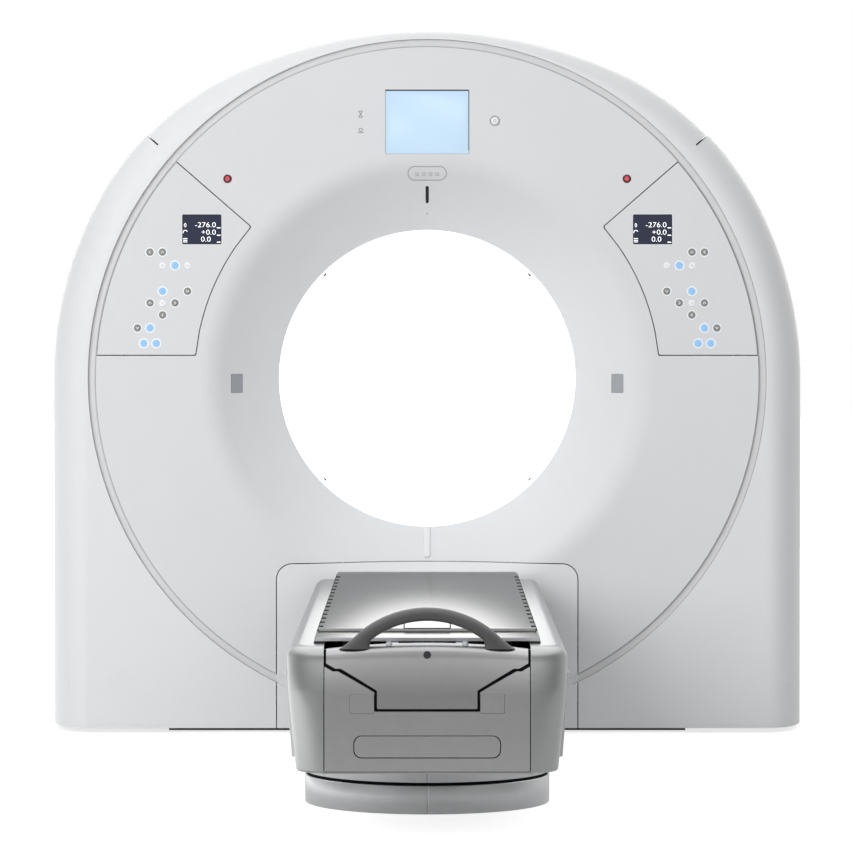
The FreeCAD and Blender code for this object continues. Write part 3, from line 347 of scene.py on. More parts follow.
finish = {
    # two-part satin paint over moulded glass fibre: a faint orange peel that softens the highlights
    "coverPaint": grained("satinPaintOnGlassFibre", ("#dadbdc", "#dedfe0"), 4 * mm, 0.05 * mm, Roughness=0.42,
                          Specular_IOR_Level=0.3),
    # the same paint on the discs, a little cooler and flatter
    "discPaint": grained("satinPaintOnDisc", ("#d3d5d7", "#d7d8da"), 4 * mm, 0.04 * mm, Roughness=0.45,
                         Coat_Weight=0.08, Coat_Roughness=0.35),
    # white polycarbonate liner with a painted glow: its emission stands in for the light that makes it look white
    "linerPaintedGlow": grained("frostedPolycarbonateWithPaintedGlow", ("#f4f6f8", "#fafbfc"), 3 * mm, 0.02 * mm, Roughness=0.3,
                                  Emission_Color=linear("#ffffff"), Emission_Strength=0.55),
    # aluminium strip with a matt clear anodise, almost a paint to the eye
    "ringAluminium": grained("mattAnodisedAluminium", ("#d2d2d3", "#dadadb"), 1.5 * mm, 0.02 * mm, Metallic=0.1,
                             Roughness=0.5),
    # black neoprene, and black sheets that paint the shade in joints and gaps
    "neopreneAndShade": grained("blackNeopreneAndPaintedShade", ("#08080a", "#0d0d0f"), 2 * mm, 0.1 * mm, Roughness=0.9,
                           Specular_IOR_Level=0.1),
    # moulded polyurethane skin of the couch, with metallic paint: fine flakes under a clear coat
    "couchPaint": grained("metallicPaintOnPolyurethane", ("#9b9b9c", "#a1a1a2"), 0.8 * mm, 0.03 * mm, Metallic=0.95,
                          Roughness=0.33, Coat_Weight=0.1, Coat_Roughness=0.25),
    # the same paint a shade darker on the end cover, and a little more matt on the side covers
    "cradlePaint": grained("metallicPaintOnABS", ("#8f8f90", "#959596"), 0.8 * mm, 0.03 * mm, Metallic=0.95,
                          Roughness=0.33, Coat_Weight=0.1, Coat_Roughness=0.25),
    "couchSidePaint": grained("paleMetallicPaintOnPolyurethane", ("#909191", "#969797"), 0.8 * mm, 0.03 * mm,
                              Metallic=0.92, Roughness=0.35, Coat_Weight=0.1, Coat_Roughness=0.25),
    # bumper strips: soft moulded vinyl with a fine leather grain
    "stripVinyl": grained("mouldedVinyl", ("#b9babc", "#c3c4c6"), 1.2 * mm, 0.12 * mm, Roughness=0.55),
    # table top: brushed aluminium-faced laminate, strokes across the table
    "brushedTop": grained("brushedLaminate", ("#848584", "#a6a7a6"), 0.7 * mm, 0.01 * mm, stretch=(0.05, 1, 1),
                          cloud=45 * mm, Metallic=1.0, Roughness=0.12, Specular_Tint=linear("#6e6e6c")),
    # handle: integral-skin foam over steel tube
    "handleFoam": grained("integralSkinFoam", ("#353536", "#3c3c3d"), 1.4 * mm, 0.12 * mm, Roughness=0.5,
                          Coat_Weight=0.35, Coat_Roughness=0.4),
    # rolled steel sheet with the couch's metallic paint: long soft highlights up the curve
    "skirtPaint": grained("metallicPaintOnSteel", ("#afb0b1", "#babbbc"), 0.8 * mm, 0.03 * mm, Metallic=0.9,
                          Roughness=0.3, Coat_Weight=0.2),
    # inside the covers: coated, ground, cast and painted metal, and the slip ring's brass
    "frameSteel": grained("powderCoatedSteel", ("#3c4046", "#484c52"), 1.5 * mm, 0.12 * mm, Roughness=0.55),
    "groundSteel": grained("groundBearingSteel", ("#8d8f92", "#a3a5a8"), 0.6 * mm, 0.02 * mm, Metallic=1.0,
                           Roughness=0.22),
    "castAluminium": grained("machinedCastAluminium", ("#9b9da1", "#abadb0"), 1.8 * mm, 0.08 * mm, Metallic=0.9,
                             Roughness=0.42),
    "brassTracks": grained("polishedBrass", ("#a3813f", "#b8964f"), 0.8 * mm, 0.02 * mm, Metallic=1.0,
                           Roughness=0.25),
    "unitPaint": grained("hammeredPaint", ("#70757b", "#7c8187"), 2.5 * mm, 0.15 * mm, Roughness=0.5),
    # silicone rubber keys, dyed through
    "darkSilicone": grained("greySilicone", ("#82817f", "#8d8c8a"), 0.8 * mm, 0.05 * mm, Roughness=0.5),
    "whiteSilicone": grained("whiteSilicone", ("#eceded", "#f2f2f2"), 0.8 * mm, 0.05 * mm, Roughness=0.45),
    # keys lit from behind, flat pad-printed inks, and thin lines that paint the shade at gaps and edges
    "bluePrint": glowing("litBlueSilicone", "#8abfee", 0.4, "#7aa9d2", 0.5),
    "haloPrint": grained("palePrintRoundKeys", ("#ecf0f4", "#f2f5f8"), 0.8 * mm, 0.01 * mm, Roughness=0.5),
    "panelPrint": grained("greyPrintRoundKeys", ("#dcdddf", "#e1e2e4"), 0.8 * mm, 0.01 * mm, Roughness=0.5),
    "paleMark": glowing("whiteMark", "#ffffff", 0.35, "#f4f4f4", 0.5),
    "whiteMark": grained("rosePrint", ("#d9848c", "#df8e95"), 0.5 * mm, 0.01 * mm, Roughness=0.5),
    "softMark": grained("greyPrint", ("#8d8e90", "#959698"), 0.5 * mm, 0.01 * mm, Roughness=0.6),
    "warmLine": grained("warmGreyGapShade", ("#a39f98", "#aaa69f"), 0.5 * mm, 0.01 * mm, Roughness=0.6),
    "greyMark": grained("greyInkAndEdgeShade", ("#a5a6a8", "#adaeb0"), 0.5 * mm, 0.01 * mm, Roughness=0.6),
    # stop buttons: glossy red acetal in a black collar
    "redAcetal": grained("redAcetal", ("#b92c3a", "#c43441"), 1.2 * mm, 0.02 * mm, Roughness=0.28, Coat_Weight=0.3),
    "blackAcetal": grained("blackAcetal", ("#1d1d20", "#242427"), 1.2 * mm, 0.02 * mm, Roughness=0.5),
    "greyAcetal": grained("greyAcetal", ("#9d9ea1", "#a7a8ab"), 1.2 * mm, 0.02 * mm, Roughness=0.4),
    # liquid-crystal screens behind glass
    "navyScreen": glowing("navyScreenGlass", "#2b3049", 0.45, "#161a28", 0.3),
    "skyScreen": glowing("skyScreenGlass", "#cbe4fa", 0.92, "#3d4b55", 0.35),
    "digitGlow": glowing("digitGlow", "#ffffff", 0.9, "#f0f3f8", 0.4),
    "smokedWindow": grained("smokedAcrylic", ("#16171a", "#1d1e22"), 1 * mm, 0.01 * mm, Roughness=0.12),
    "greyWindow": grained("greyAcrylic", ("#94989c", "#9da1a5"), 1 * mm, 0.01 * mm, Roughness=0.25),
}
print("materials ready:", len(finish))


# gantry covers

def coverRadius(turn):
    # outside of the covers at degrees from the top: a flat arch, an eased shoulder, then a circle
    turn = np.abs(np.asarray(turn, float))
    start, end = gantryShape["shoulder"]

    def arch(degrees):
        drop = gantryShape["topRise"] - gantryShape["topArc"]
        angle = np.radians(degrees)
        return drop * np.cos(angle) + np.sqrt(gantryShape["topArc"] ** 2 - (drop * np.sin(angle)) ** 2)

    share = np.clip((turn - start) / (end - start), 0, 1)
    share = share * share * (3 - 2 * share)
    middle, width, depth = gantryShape["flat"]
    flatter = depth * np.exp(-((turn - middle) / width) ** 2)
    return arch(np.minimum(turn, end)) * (1 - share) + gantryShape["sideRadius"] * share - flatter


def coverSection(outside, flange):
    # (radius, along) from the rim at the front over the roll and the flank to the rim at the back
    half, ring, deep = -gantryShape["front"], gantryShape["ringRadius"], gantryShape["rollDepth"]
    turns = np.linspace(0, np.pi / 2, 30)
    radius = ring + (outside - ring) * np.sin(turns)
    along = -(half - deep) - deep * np.cos(turns)
    front = np.stack([radius, along], -1)
    flank = np.stack([np.full(7, outside), np.linspace(-(half - deep), half - deep, 9)[1:-1]], -1)
    back = front[::-1] * np.array([1, -1])
    rim = [[ring, -half + flange]] if flange else []
    rimBack = [[ring, half - flange]] if flange else []
    return np.concatenate([np.reshape(rim, (-1, 2)), front, flank, back, np.reshape(rimBack, (-1, 2))])


coverFlange = 40 * mm


def radialBand(turns, drop=0.0):
    # the covers' skin between two turns, in degrees, about the tunnel's axis; drop lowers it towards the seams
    def outside(turn):
        ease = np.clip((abs(turn) - 40) / (gantryShape["seamTurn"] - 40), 0, 1)
        return float(coverRadius(turn)) - drop * ease * ease

    rows = [turned(coverSection(outside(turn), coverFlange), [np.radians(turn)])[0] for turn in turns]
    return gridOf(np.array(rows))


def seamFillers(reach):
    # a painted tongue closes the inner part of each seam, so only its outer part shows as a dark slit
    turn, margin = gantryShape["seamTurn"], 0.25
    section = coverSection(float(coverRadius(turn)) - 1.2 * mm, 0)
    parts = []
    for along in (-1, 1):
        near = section[(section[:, 0] < reach) & (section[:, 1] * along > 0)] - [0, along * 0.8 * mm]
        for side in (-1, 1):
            turns = np.radians(side * turn + margin * np.array([-1, 1]))
            parts.append(gridOf(turned(near, turns)))
    return joined(*parts)


def sideSkirt(rows):
    # below the axis the section is carried straight down
    section = coverSection(gantryShape["sideRadius"], 0)
    heights = gantryShape["coverFoot"] + (isoHeight - gantryShape["coverFoot"]) * rows
    radius, along = section.T
    shape = (len(rows), len(radius))
    grid = [np.broadcast_to(values, shape) for values in (radius, along, heights[:, None])]
    return gridOf(np.stack(grid, -1))


def lowerWeb(rows, along, inside):
    # the flat corner between the ring and the floor, and the ring's own wall behind its edge
    ring = gantryShape["ringRadius"]
    turns = np.linspace(np.arcsin(inside / ring), np.pi / 2, 50)
    x, top = ring * np.sin(turns), isoHeight - ring * np.cos(turns)
    foot = gantryShape["coverFoot"]
    heights = foot + (top[None] - foot) * rows[:, None]
    web = np.stack([np.broadcast_to(x, heights.shape), np.full(heights.shape, along), heights], -1)
    depth = along - np.sign(along) * coverFlange * np.array([0, 1])
    wall = np.stack([np.broadcast_to(x, (2, len(x))), np.broadcast_to(depth[:, None], (2, len(x))),
                     np.broadcast_to(top, (2, len(x)))], -1)
    return gridOf(web), gridOf(wall)


def buildOuterCovers():
    seam = gantryShape["seamTurn"]
    margin = np.degrees(0.8 * gantryShape["gap"] / gantryShape["sideRadius"])
    top = radialBand(np.linspace(-seam + margin, seam - margin, 91), drop=gantryShape["seamDrop"])
    middle = (0, 0, isoHeight)
    makePiece("seamFillers", seamFillers(gantryShape["fillerReach"]), "gantry", finish["coverPaint"],
              away=middle)
    piece = makePiece("topCover", top, "gantry", finish["coverPaint"], "top_cover", middle)
    roundEdges(thicken(piece, gantryShape["wall"]), 1.6 * mm)

    rows = np.linspace(0, 1, 24)
    inside = float(dockHigh[0]) + gantryShape["gap"]
    half = -gantryShape["front"]
    bend = radialBand(np.linspace(seam + margin, 90, 48))
    webs = [part for along in (-half, half) for part in lowerWeb(rows, along, inside)]
    right = joined(bend, sideSkirt(rows), *webs)
    for side, part in (("right", right), ("left", mirroredPart(right))):
        flip = 1 if side == "right" else -1
        name = side + "SideCover"
        piece = makePiece(name, part, "gantry", finish["coverPaint"], side + "_side_cover",
                          (0.7 * flip, 0, 0.9))
        recalculated = bmesh.new()
        recalculated.from_mesh(piece.data)
        bmesh.ops.recalc_face_normals(recalculated, faces=recalculated.faces)
        recalculated.faces.ensure_lookup_table()
        flank = max(recalculated.faces, key=lambda face: face.calc_center_median().x * flip)
        if flank.normal.x * flip < 0:
            bmesh.ops.reverse_faces(recalculated, faces=recalculated.faces)
        recalculated.to_mesh(piece.data)
        recalculated.free()
        roundEdges(thicken(piece, gantryShape["wall"]), 1.6 * mm)


def buildFlankCaps():
    # a small blind cap low on each front corner, a patch of the rolled flank that stands a little proud
    cap = {"low": 125 * mm, "high": 163 * mm, "inner": 1076.6 * mm, "outer": 1094.7 * mm, "proud": 1.2 * mm}
    ring, reach = gantryShape["ringRadius"], gantryShape["sideRadius"] - gantryShape["ringRadius"]
    deep = gantryShape["rollDepth"]
    first, last = np.arcsin((np.array([cap["inner"], cap["outer"]]) - ring) / reach)
    turns, heights = np.meshgrid(np.linspace(first, last, 9), np.linspace(cap["low"], cap["high"], 5), indexing="ij")
    # the offset runs along the ellipse's normal
    normal = np.stack([deep * np.sin(turns), -reach * np.cos(turns)])
    normal /= np.hypot(*normal)
    x = ring + reach * np.sin(turns) + cap["proud"] * normal[0]
    y = gantryShape["front"] + deep - deep * np.cos(turns) + cap["proud"] * normal[1]
    patch = gridOf(np.stack([x, y, heights], -1))
    for label, part in (("Right", patch), ("Left", mirroredPart(patch))):
        piece = makePiece("flankCap" + label, part, "gantry", finish["coverPaint"])
        faceFront(piece)
        roundEdges(thicken(piece, 3 * mm), 0.6 * mm, 2)


def discDepth(radius):
    # how far back the disc's skin lies at a radius: flat face, soft blend, cone
    front, mouth, blend = (gantryShape[key] for key in ("front", "flareMouth", "flareBlend"))
    bore, lip = gantryShape["boreRadius"], -gantryShape["tunnelHalf"]
    slope = (front - lip) / (mouth - bore)
    turn = np.arctan(-slope)
    reach = blend * np.tan(turn / 2)
    start, end = mouth - reach * np.cos(turn), mouth + reach
    cone = lip + (radius - bore) * slope
    soft = front + blend - np.sqrt(np.maximum(blend ** 2 - (end - radius) ** 2, 0))
    return np.where(radius >= end, front, np.where(radius <= start, cone, soft))


def onDisc(x, z):
    return np.stack([x, discDepth(np.hypot(x, z - isoHeight)), z], -1)


dock = {
    "halfWidth": float(dockHigh[0]), "foot": float(dockLow[2]), "top": 510 * mm, "arch": 3.5 * mm, "corner": 46 * mm,
}


def dockLoop(grow):
    # the lower panel's outline: straight sides, round upper corners and a slightly arched top
    half, foot = dock["halfWidth"] + grow, dock["foot"] - 2 * grow
    across = np.linspace(-1, 1, 41) * (dock["halfWidth"] - dock["corner"])
    arch = dock["top"] + grow - dock["arch"] * (across / dock["halfWidth"]) ** 2
    end = arch[0]
    centreZ, radius = end - dock["corner"], dock["corner"] + grow
    turns = np.linspace(0, np.pi / 2, 9)[:-1]
    centreX = dock["halfWidth"] - dock["corner"]
    left = np.stack([-centreX - radius * np.cos(turns), centreZ - grow + radius * np.sin(turns)], -1)
    right = (left * np.array([-1, 1]))[::-1]
    return np.concatenate([[[-half, foot]], left, np.stack([across, arch], -1), right, [[half, foot]]])


panelShape = {"inner": 695 * mm, "drop": 69.8 * mm, "corner": 6 * mm}


def sectorLoop(side, margin, outer):
    # a control panel's outline between two radii, a level line and a radial seam, moved in by a margin
    seam = np.radians(gantryShape["seamTurn"])
    low = panelShape["drop"] + margin
    inner = panelShape["inner"] + margin

    def turnAt(radius):
        return seam + np.arcsin(margin / radius), np.arccos(low / radius)

    outerStart, outerEnd = turnAt(outer)
    innerStart, innerEnd = turnAt(inner)
    outerTurns, innerTurns = np.linspace(outerStart, outerEnd, 60), np.linspace(innerEnd, innerStart, 50)
    loop = np.concatenate([
        np.stack([outer * np.sin(outerTurns), outer * np.cos(outerTurns)], -1),
        np.stack([inner * np.sin(innerTurns), inner * np.cos(innerTurns)], -1)])
    sharp = 60  # the corner between the level line and the inner arc is rounded
    corner = roundedLoop([loop[sharp - 1], loop[sharp], loop[sharp + 8]], [0, panelShape["corner"], 0], 8)[1:-1]
    upper = roundedLoop([loop[-9], loop[-1], loop[0]], [0, panelShape["corner"], 0], 8)[1:-1]
    loop = np.concatenate([loop[:sharp], corner, loop[sharp + 8:-9], upper])
    return np.stack([side * loop[:, 0], isoHeight + loop[:, 1]], -1)


pill = {"width": 116 * mm, "height": 41 * mm, "up": 616 * mm}
slot = {"width": 10 * mm, "height": 51 * mm, "up": 554 * mm}
sideWindow = {"width": 35 * mm, "height": 57 * mm, "across": 572 * mm, "drop": 14 * mm}
pinHole = {"radius": 2.2 * mm, "up": 497 * mm}
screen = {"low": corners("main_display")[0], "high": corners("main_display")[1]}


def pillLoop(shape, grow, across=0.0, rounding=0.498):
    half = np.array([shape["width"] / 2 + grow, shape["height"] / 2 + grow])
    centre = np.array([across, isoHeight + shape.get("up", -shape.get("drop", 0))])
    box = centre + half * np.array([[-1, -1], [1, -1], [1, 1], [-1, 1]])
    return roundedLoop(box, 2 * rounding * half.min(), 10)


def discSpots(outer):
    # free points on circles, close together where the skin bends
    front = gantryShape["flareMouth"]
    near = np.arange(front - 60 * mm, front + 60 * mm, 5 * mm)
    radii = np.concatenate([np.linspace(gantryShape["boreRadius"], near[0], 10)[1:-1], near,
                            np.linspace(near[-1], outer, 12)[1:-1]])
    turns = np.linspace(0, 2 * np.pi, 300, endpoint=False)
    return np.concatenate([np.stack([r * np.sin(turns), isoHeight + r * np.cos(turns)], -1) for r in radii])


def clearOf(spots, loops, room):
    # leaves out spots within some room of an outline
    keep = np.ones(len(spots), bool)
    for loop in loops:
        after = np.roll(loop, -1, axis=0)
        for start, end in zip(loop, after):
            way = end - start
            length = max(way @ way, 1e-12)
            share = np.clip((spots - start) @ way / length, 0, 1)
            keep &= np.hypot(*(spots - start - share[:, None] * way).T) > room
    return spots[keep]


def buildDisc(name, node, mirror, cuts):
    # the disc cover as one sheet; what is cut out of it is left to darkness and to the pieces let into it
    outer, inner = ringLoop(gantryShape["discRadius"], 480, (0, isoHeight)), ringLoop(
        gantryShape["boreRadius"], 300, (0, isoHeight))
    loops = [outer, inner] + cuts
    spots = clearOf(discSpots(gantryShape["discRadius"]), cuts, 2 * mm)

    def inside(x, z):
        radius = np.hypot(x, z - isoHeight)
        keep = (radius < gantryShape["discRadius"]) & (radius > gantryShape["boreRadius"])
        return leaveOut(cuts, keep, x, z)

    points, faces = facedPart(loops, inside, onDisc, spots)
    if mirror:
        points = points * np.array([1, -1, 1])
        faces = faces[:, ::-1]
    piece = makePiece(name, (points, faces), "gantry", finish["discPaint"], node)
    roundEdges(thicken(piece, 14 * mm), 1.2 * mm)
    return piece


def buildDiscs():
    gap = gantryShape["gap"]
    reach = gantryShape["discRadius"] + 4 * mm
    screenLoop = rectangle(screen["low"], screen["high"])
    across = sideWindow["across"]
    holes = [sectorLoop(1, 0, reach), sectorLoop(-1, 0, reach), dockLoop(gap), pillLoop(pill, 0), pillLoop(slot, 0),
             pillLoop(sideWindow, 0, across, 0.06), pillLoop(sideWindow, 0, -across, 0.06),
             ringLoop(pinHole["radius"], 12, (0, isoHeight + pinHole["up"])), roundedLoop(screenLoop, 3 * mm, 4)]
    for node in ("left_stop_button", "right_stop_button", "start_button"):
        low, high = corners(node)
        middle = (low + high) / 2
        radius = (high[0] - low[0]) / 2 + 3.6 * mm
        holes.append(ringLoop(radius, 40, (middle[0], middle[2])))
    buildDisc("frontDisc", "front_cover", False, holes)
    buildDisc("rearDisc", "rear_cover", True, [dockLoop(gap)])

    # the pieces let into the flare lie flush with it
    def inlay(name, loop, material, sink, node=None):
        def placed(x, z):
            return onDisc(x, z) + np.array([0, sink, 0])

        low, high = loop.min(axis=0), loop.max(axis=0)
        grid = np.stack(np.meshgrid(np.arange(low[0], high[0], 4 * mm), np.arange(low[1], high[1], 4 * mm)), -1)
        spots = clearOf(grid.reshape(-1, 2), [loop], 1 * mm)
        part = facedPart([loop], within(loop), placed, spots)
        piece = makePiece(name, part, "gantry", finish[material], node or ())
        roundEdges(thicken(piece, 4 * mm), 0.5 * mm)

    inlay("indicatorWindow", pillLoop(pill, -0.9 * mm), "discPaint", 0.2 * mm, "indicator_window")
    # a warm grey ring round the window paints the shade of its gap
    outline = pillLoop(pill, 0.8 * mm)
    hollow = pillLoop(pill, -2.0 * mm)
    points, faces = facedPart([outline, hollow], between(outline, hollow),
                              lambda x, z: onDisc(x, z) - np.array([0, 0.4 * mm, 0]))
    makePiece("indicatorGapShade", (points, faces), "gantry", finish["warmLine"],
              away="front")
    signs = []
    for step in range(4):
        centre = np.array([(step - 1.5) * 20 * mm, isoHeight + pill["up"] - 3 * mm])
        loop = roundedLoop(centre + 5 * mm * np.array([[-1, -1], [1, -1], [1, 1], [-1, 1]]), 2 * mm, 3)
        core = centre + (loop - centre) * 0.62
        signs.append(facedPart([loop, core], between(loop, core),
                               lambda x, z: onDisc(x, z) - np.array([0, 0.3 * mm, 0])))
    makePiece("indicatorSigns", joined(*signs), "gantry", finish["greyMark"], away="front")
    inlay("laserSlot", pillLoop(slot, -0.2 * mm), "smokedWindow", 1.5 * mm, "laser_windows")
    for label, side in (("Left", -1), ("Right", 1)):
        inlay("laserWindow" + label, pillLoop(sideWindow, -0.6 * mm, side * sideWindow["across"], 0.06), "greyWindow",
              2 * mm, None)


def buildGroove():
    # the lining of the groove is a flat painted ring all the way round, edged by two thin grey rings that paint the
    # shade at the groove's edges
    inner, outer, floor = gantryShape["discRadius"], gantryShape["ringRadius"], gantryShape["grooveFloor"]
    joint = {"outer": 2.0 * mm, "rise": 0.6 * mm}
    turns = np.linspace(-np.pi, np.pi, 481)
    for name, node, side in (("front", "front_trim_ring", 1), ("rear", "rear_trim_ring", -1)):
        mirror = np.array([1, side, 1])
        points, faces = gridOf(turned([(inner + r, floor) for r in np.linspace(0, outer - inner + 4 * mm, 5)], turns))
        piece = makePiece(name + "Ring", (points * mirror, faces), "gantry", finish["ringAluminium"], node)
        orient(piece, lambda face, s=side: -s * face.normal.y)
        thicken(piece, 2 * mm)
        # two thin grey rings on the groove's floor paint the shade at its inner and outer edges
        level = floor - joint["rise"]
        for edge, start in (("Inner", inner), ("Outer", outer - 0.5 * joint["outer"])):
            points, faces = gridOf(turned([(start, level), (start + joint["outer"], level)], turns))
            piece = makePiece(name + edge + "Joint", (points * mirror, faces), "gantry", finish["greyMark"])
            orient(piece, lambda face, s=side: -s * face.normal.y)


def buildLowerPanels():
    # the docking panel at the front and the service panel at the back
    inner, outer, lip = gantryShape["discRadius"], gantryShape["ringRadius"], 0.6 * mm
    sink = 9 * mm
    loop = dockLoop(0)
    rings = [ringLoop(r, 720, (0, isoHeight)) for r in (inner, inner + lip, outer - lip, outer)]
    rings = [ring[(ring[:, 1] < dock["foot"] + 200 * mm) & (np.abs(ring[:, 0]) < dock["halfWidth"] + 40 * mm)]
             for ring in rings]
    rings = [ring[np.argsort(ring[:, 0])] for ring in rings]

    def surface(x, z):
        radius = np.hypot(x, z - isoHeight)
        share = np.clip(np.minimum(radius - inner, outer - radius) / lip, 0, 1)
        depth = discDepth(radius) + sink * share
        return np.stack([x, depth, z], -1)

    spots = discSpots(gantryShape["discRadius"])
    spots = spots[insideLoop(loop, spots[:, 0], spots[:, 1])]
    spots = clearOf(spots, [loop], 2 * mm)

    def band(low, high):
        # closes two rings' arcs into an outline
        return np.concatenate([rings[low], rings[high][::-1]])

    loops = [loop, band(0, 1), band(2, 3)]
    part = facedPart(loops, within(loop), surface, spots)
    piece = makePiece("dockingPanel", part, "gantry", finish["coverPaint"], "docking_panel")
    roundEdges(thicken(piece, 12 * mm), 1.2 * mm, turn=60)
    vents = {"count": 9, "pitch": 30 * mm, "height": 10 * mm, "halfLength": 260 * mm, "low": 180 * mm}
    slots = []
    for step in range(vents["count"]):
        low = vents["low"] + step * vents["pitch"]
        box = [[-vents["halfLength"], low], [vents["halfLength"], low], [vents["halfLength"], low + vents["height"]],
               [-vents["halfLength"], low + vents["height"]]]
        slots.append(roundedLoop(box, 0.49 * vents["height"], 6))

    def louvred(x, z):
        return leaveOut(slots, insideLoop(loop, x, z), x, z)

    points, faces = facedPart(loops + slots, louvred, surface, clearOf(spots, slots, 2 * mm))
    piece = makePiece("rearServicePanel", (points * np.array([1, -1, 1]), faces[:, ::-1]), "gantry",
                      finish["coverPaint"], "rear_service_panel")
    roundEdges(thicken(piece, 12 * mm), 1.2 * mm, turn=60)


def buildTunnel():
    half, bore = gantryShape["tunnelHalf"], gantryShape["boreRadius"]
    profile = np.array([[bore, -half], [bore, -0.5 * half], [bore, 0], [bore, 0.5 * half], [bore, half]])
    points, faces = gridOf(turned(profile, fullTurn), closeRows=True)
    # the liner's white is partly a painted glow in its material
    piece = makePiece("boreLiner", (points, faces), "gantry", finish["linerPaintedGlow"], "bore_liner")
    faceAxis(piece)
    thicken(piece, 4 * mm)
    # four small target studs sit round the middle of the liner: low domes standing out of its wall
    stud = {"radius": 7 * mm, "rise": 5 * mm, "turns": (45, 135, 225, 315)}
    around, out = np.meshgrid(np.linspace(0, 2 * np.pi, 25)[:-1], np.linspace(0, np.pi / 2, 6), indexing="ij")
    across, depth = stud["radius"] * np.cos(out) * np.cos(around), stud["radius"] * np.cos(out) * np.sin(around)
    height = bore + 0.5 * mm - (stud["rise"] + 0.5 * mm) * np.sin(out)
    marks = []
    for turn in np.radians(stud["turns"]):
        x, z = np.sin(turn), np.cos(turn)
        dome = np.stack([height * x + across * z, depth, isoHeight + height * z - across * x], -1)
        marks.append(gridOf(dome, closeRows=True))
    piece = makePiece("tunnelMarks", joined(*marks), "gantry", finish["blackAcetal"])
    faceAxis(piece)

    # guide bar: a round-ended rib down the flare
    low, high = corners("guide_bar")
    width, rise = high[0] - low[0], 7 * mm
    start, end = bore, isoHeight - low[2]
    lengths = np.linspace(0, 1, 40)
    radius = start + (end - start) * lengths
    left = np.clip((end - radius) / (0.5 * width), 0, 1)
    nose = np.sqrt(left * (2 - left))
    across = np.linspace(-1, 1, 13)
    crown = np.sqrt(1 - np.abs(across) ** 4)
    x = 0.5 * width * across[None] * np.maximum(nose, 0.02)[:, None]
    depth = discDepth(radius)[:, None] - rise * crown[None] * np.clip(nose * 1.4, 0, 1)[:, None] + 0.5 * mm
    grid = np.stack([x, depth, np.broadcast_to((isoHeight - radius)[:, None], x.shape)], -1)
    piece = makePiece("guideBar", gridOf(grid), "gantry", finish["coverPaint"], "guide_bar")
    faceFront(piece)
    thicken(piece, 3 * mm)


# control panels

keyShape = {"first": 717 * mm, "pitch": 37.5 * mm, "radius": 10.5 * mm, "dome": 1.6 * mm}
# steps of the pitch across, height over the tunnel's axis in millimetres, and the left and right key's kind
keyRows = (
    (2, 380, "dark", "dark"), (3, 380, "dark", "dark"), (0, 340, "white", "white"), (1, 340, "blue", "blue"),
    (2, 340, "white", "white"), (0, 263, "dark", "dark"), (2, 263, "blue", "blue"), (1, 228, "dark", "dark"),
    (2, 228, "white", "white"), (3, 228, "dark", "dark"), (2, 192, "dark", "dark"), (3, 153, "blue", "blue"),
    (4, 153, "dark", "dark"), (2.5, 107, "blue", "blue"), (3.5, 107, "blue", "blue"),
)
keyFinish = {"dark": "darkSilicone", "white": "whiteSilicone", "blue": "bluePrint"}


def keyPlaces(side, kind):
    column = 2 if side < 0 else 3
    return [(side * (keyShape["first"] + row[0] * keyShape["pitch"]), isoHeight + row[1] * mm)
            for row in keyRows if row[column] == kind]


def domedKey(centre, radius, rise, front):
    # a low dome with a moulded rim, turned about the line through its middle
    profile = [(0.02 * mm, -rise), (0.3 * radius, -0.96 * rise), (0.6 * radius, -0.8 * rise),
               (0.78 * radius, -0.55 * rise), (0.84 * radius, -0.5 * rise), (0.92 * radius, -0.75 * rise),
               (radius, -0.5 * rise), (radius, 4 * mm)]
    profile = [(r, front + along) for r, along in profile]
    return gridOf(turned(profile, np.linspace(0, 2 * np.pi, 33)[:-1], centre), closeRows=True)


def plateBox(x0, x1, z0, z1, front, thickness):
    loop = roundedLoop([[x0, z0], [x1, z0], [x1, z1], [x0, z1]], min(1.5 * mm, 0.2 * min(x1 - x0, z1 - z0)), 4)
    count = len(loop)
    near = np.insert(loop, 1, front, axis=1)
    far = np.insert(loop, 1, front + thickness, axis=1)
    sides = [[i, (i + 1) % count, count + (i + 1) % count, count + i] for i in range(count)]
    return np.concatenate([near, far]), [list(range(count))] + [side[::-1] for side in sides]


def textPart(text, height, x, z, front):
    # plain figures as a flat mesh, upright and facing the couch
    curve = bpy.data.curves.new("figures", "FONT")
    curve.body = text
    curve.size = height
    curve.offset = -0.012 * height
    curve.align_x = "RIGHT"
    holder = bpy.data.objects.new("figures", curve)
    mesh = bpy.data.meshes.new_from_object(holder)
    flat = np.empty(len(mesh.vertices) * 3)
    mesh.vertices.foreach_get("co", flat)
    flat = flat.reshape(-1, 3)
    points = np.stack([x + 1.16 * flat[:, 0], np.full(len(flat), front - 0.3 * mm), z + flat[:, 1]], -1)
    faces = [list(polygon.vertices) for polygon in mesh.polygons]
    bpy.data.objects.remove(holder)
    return points, faces


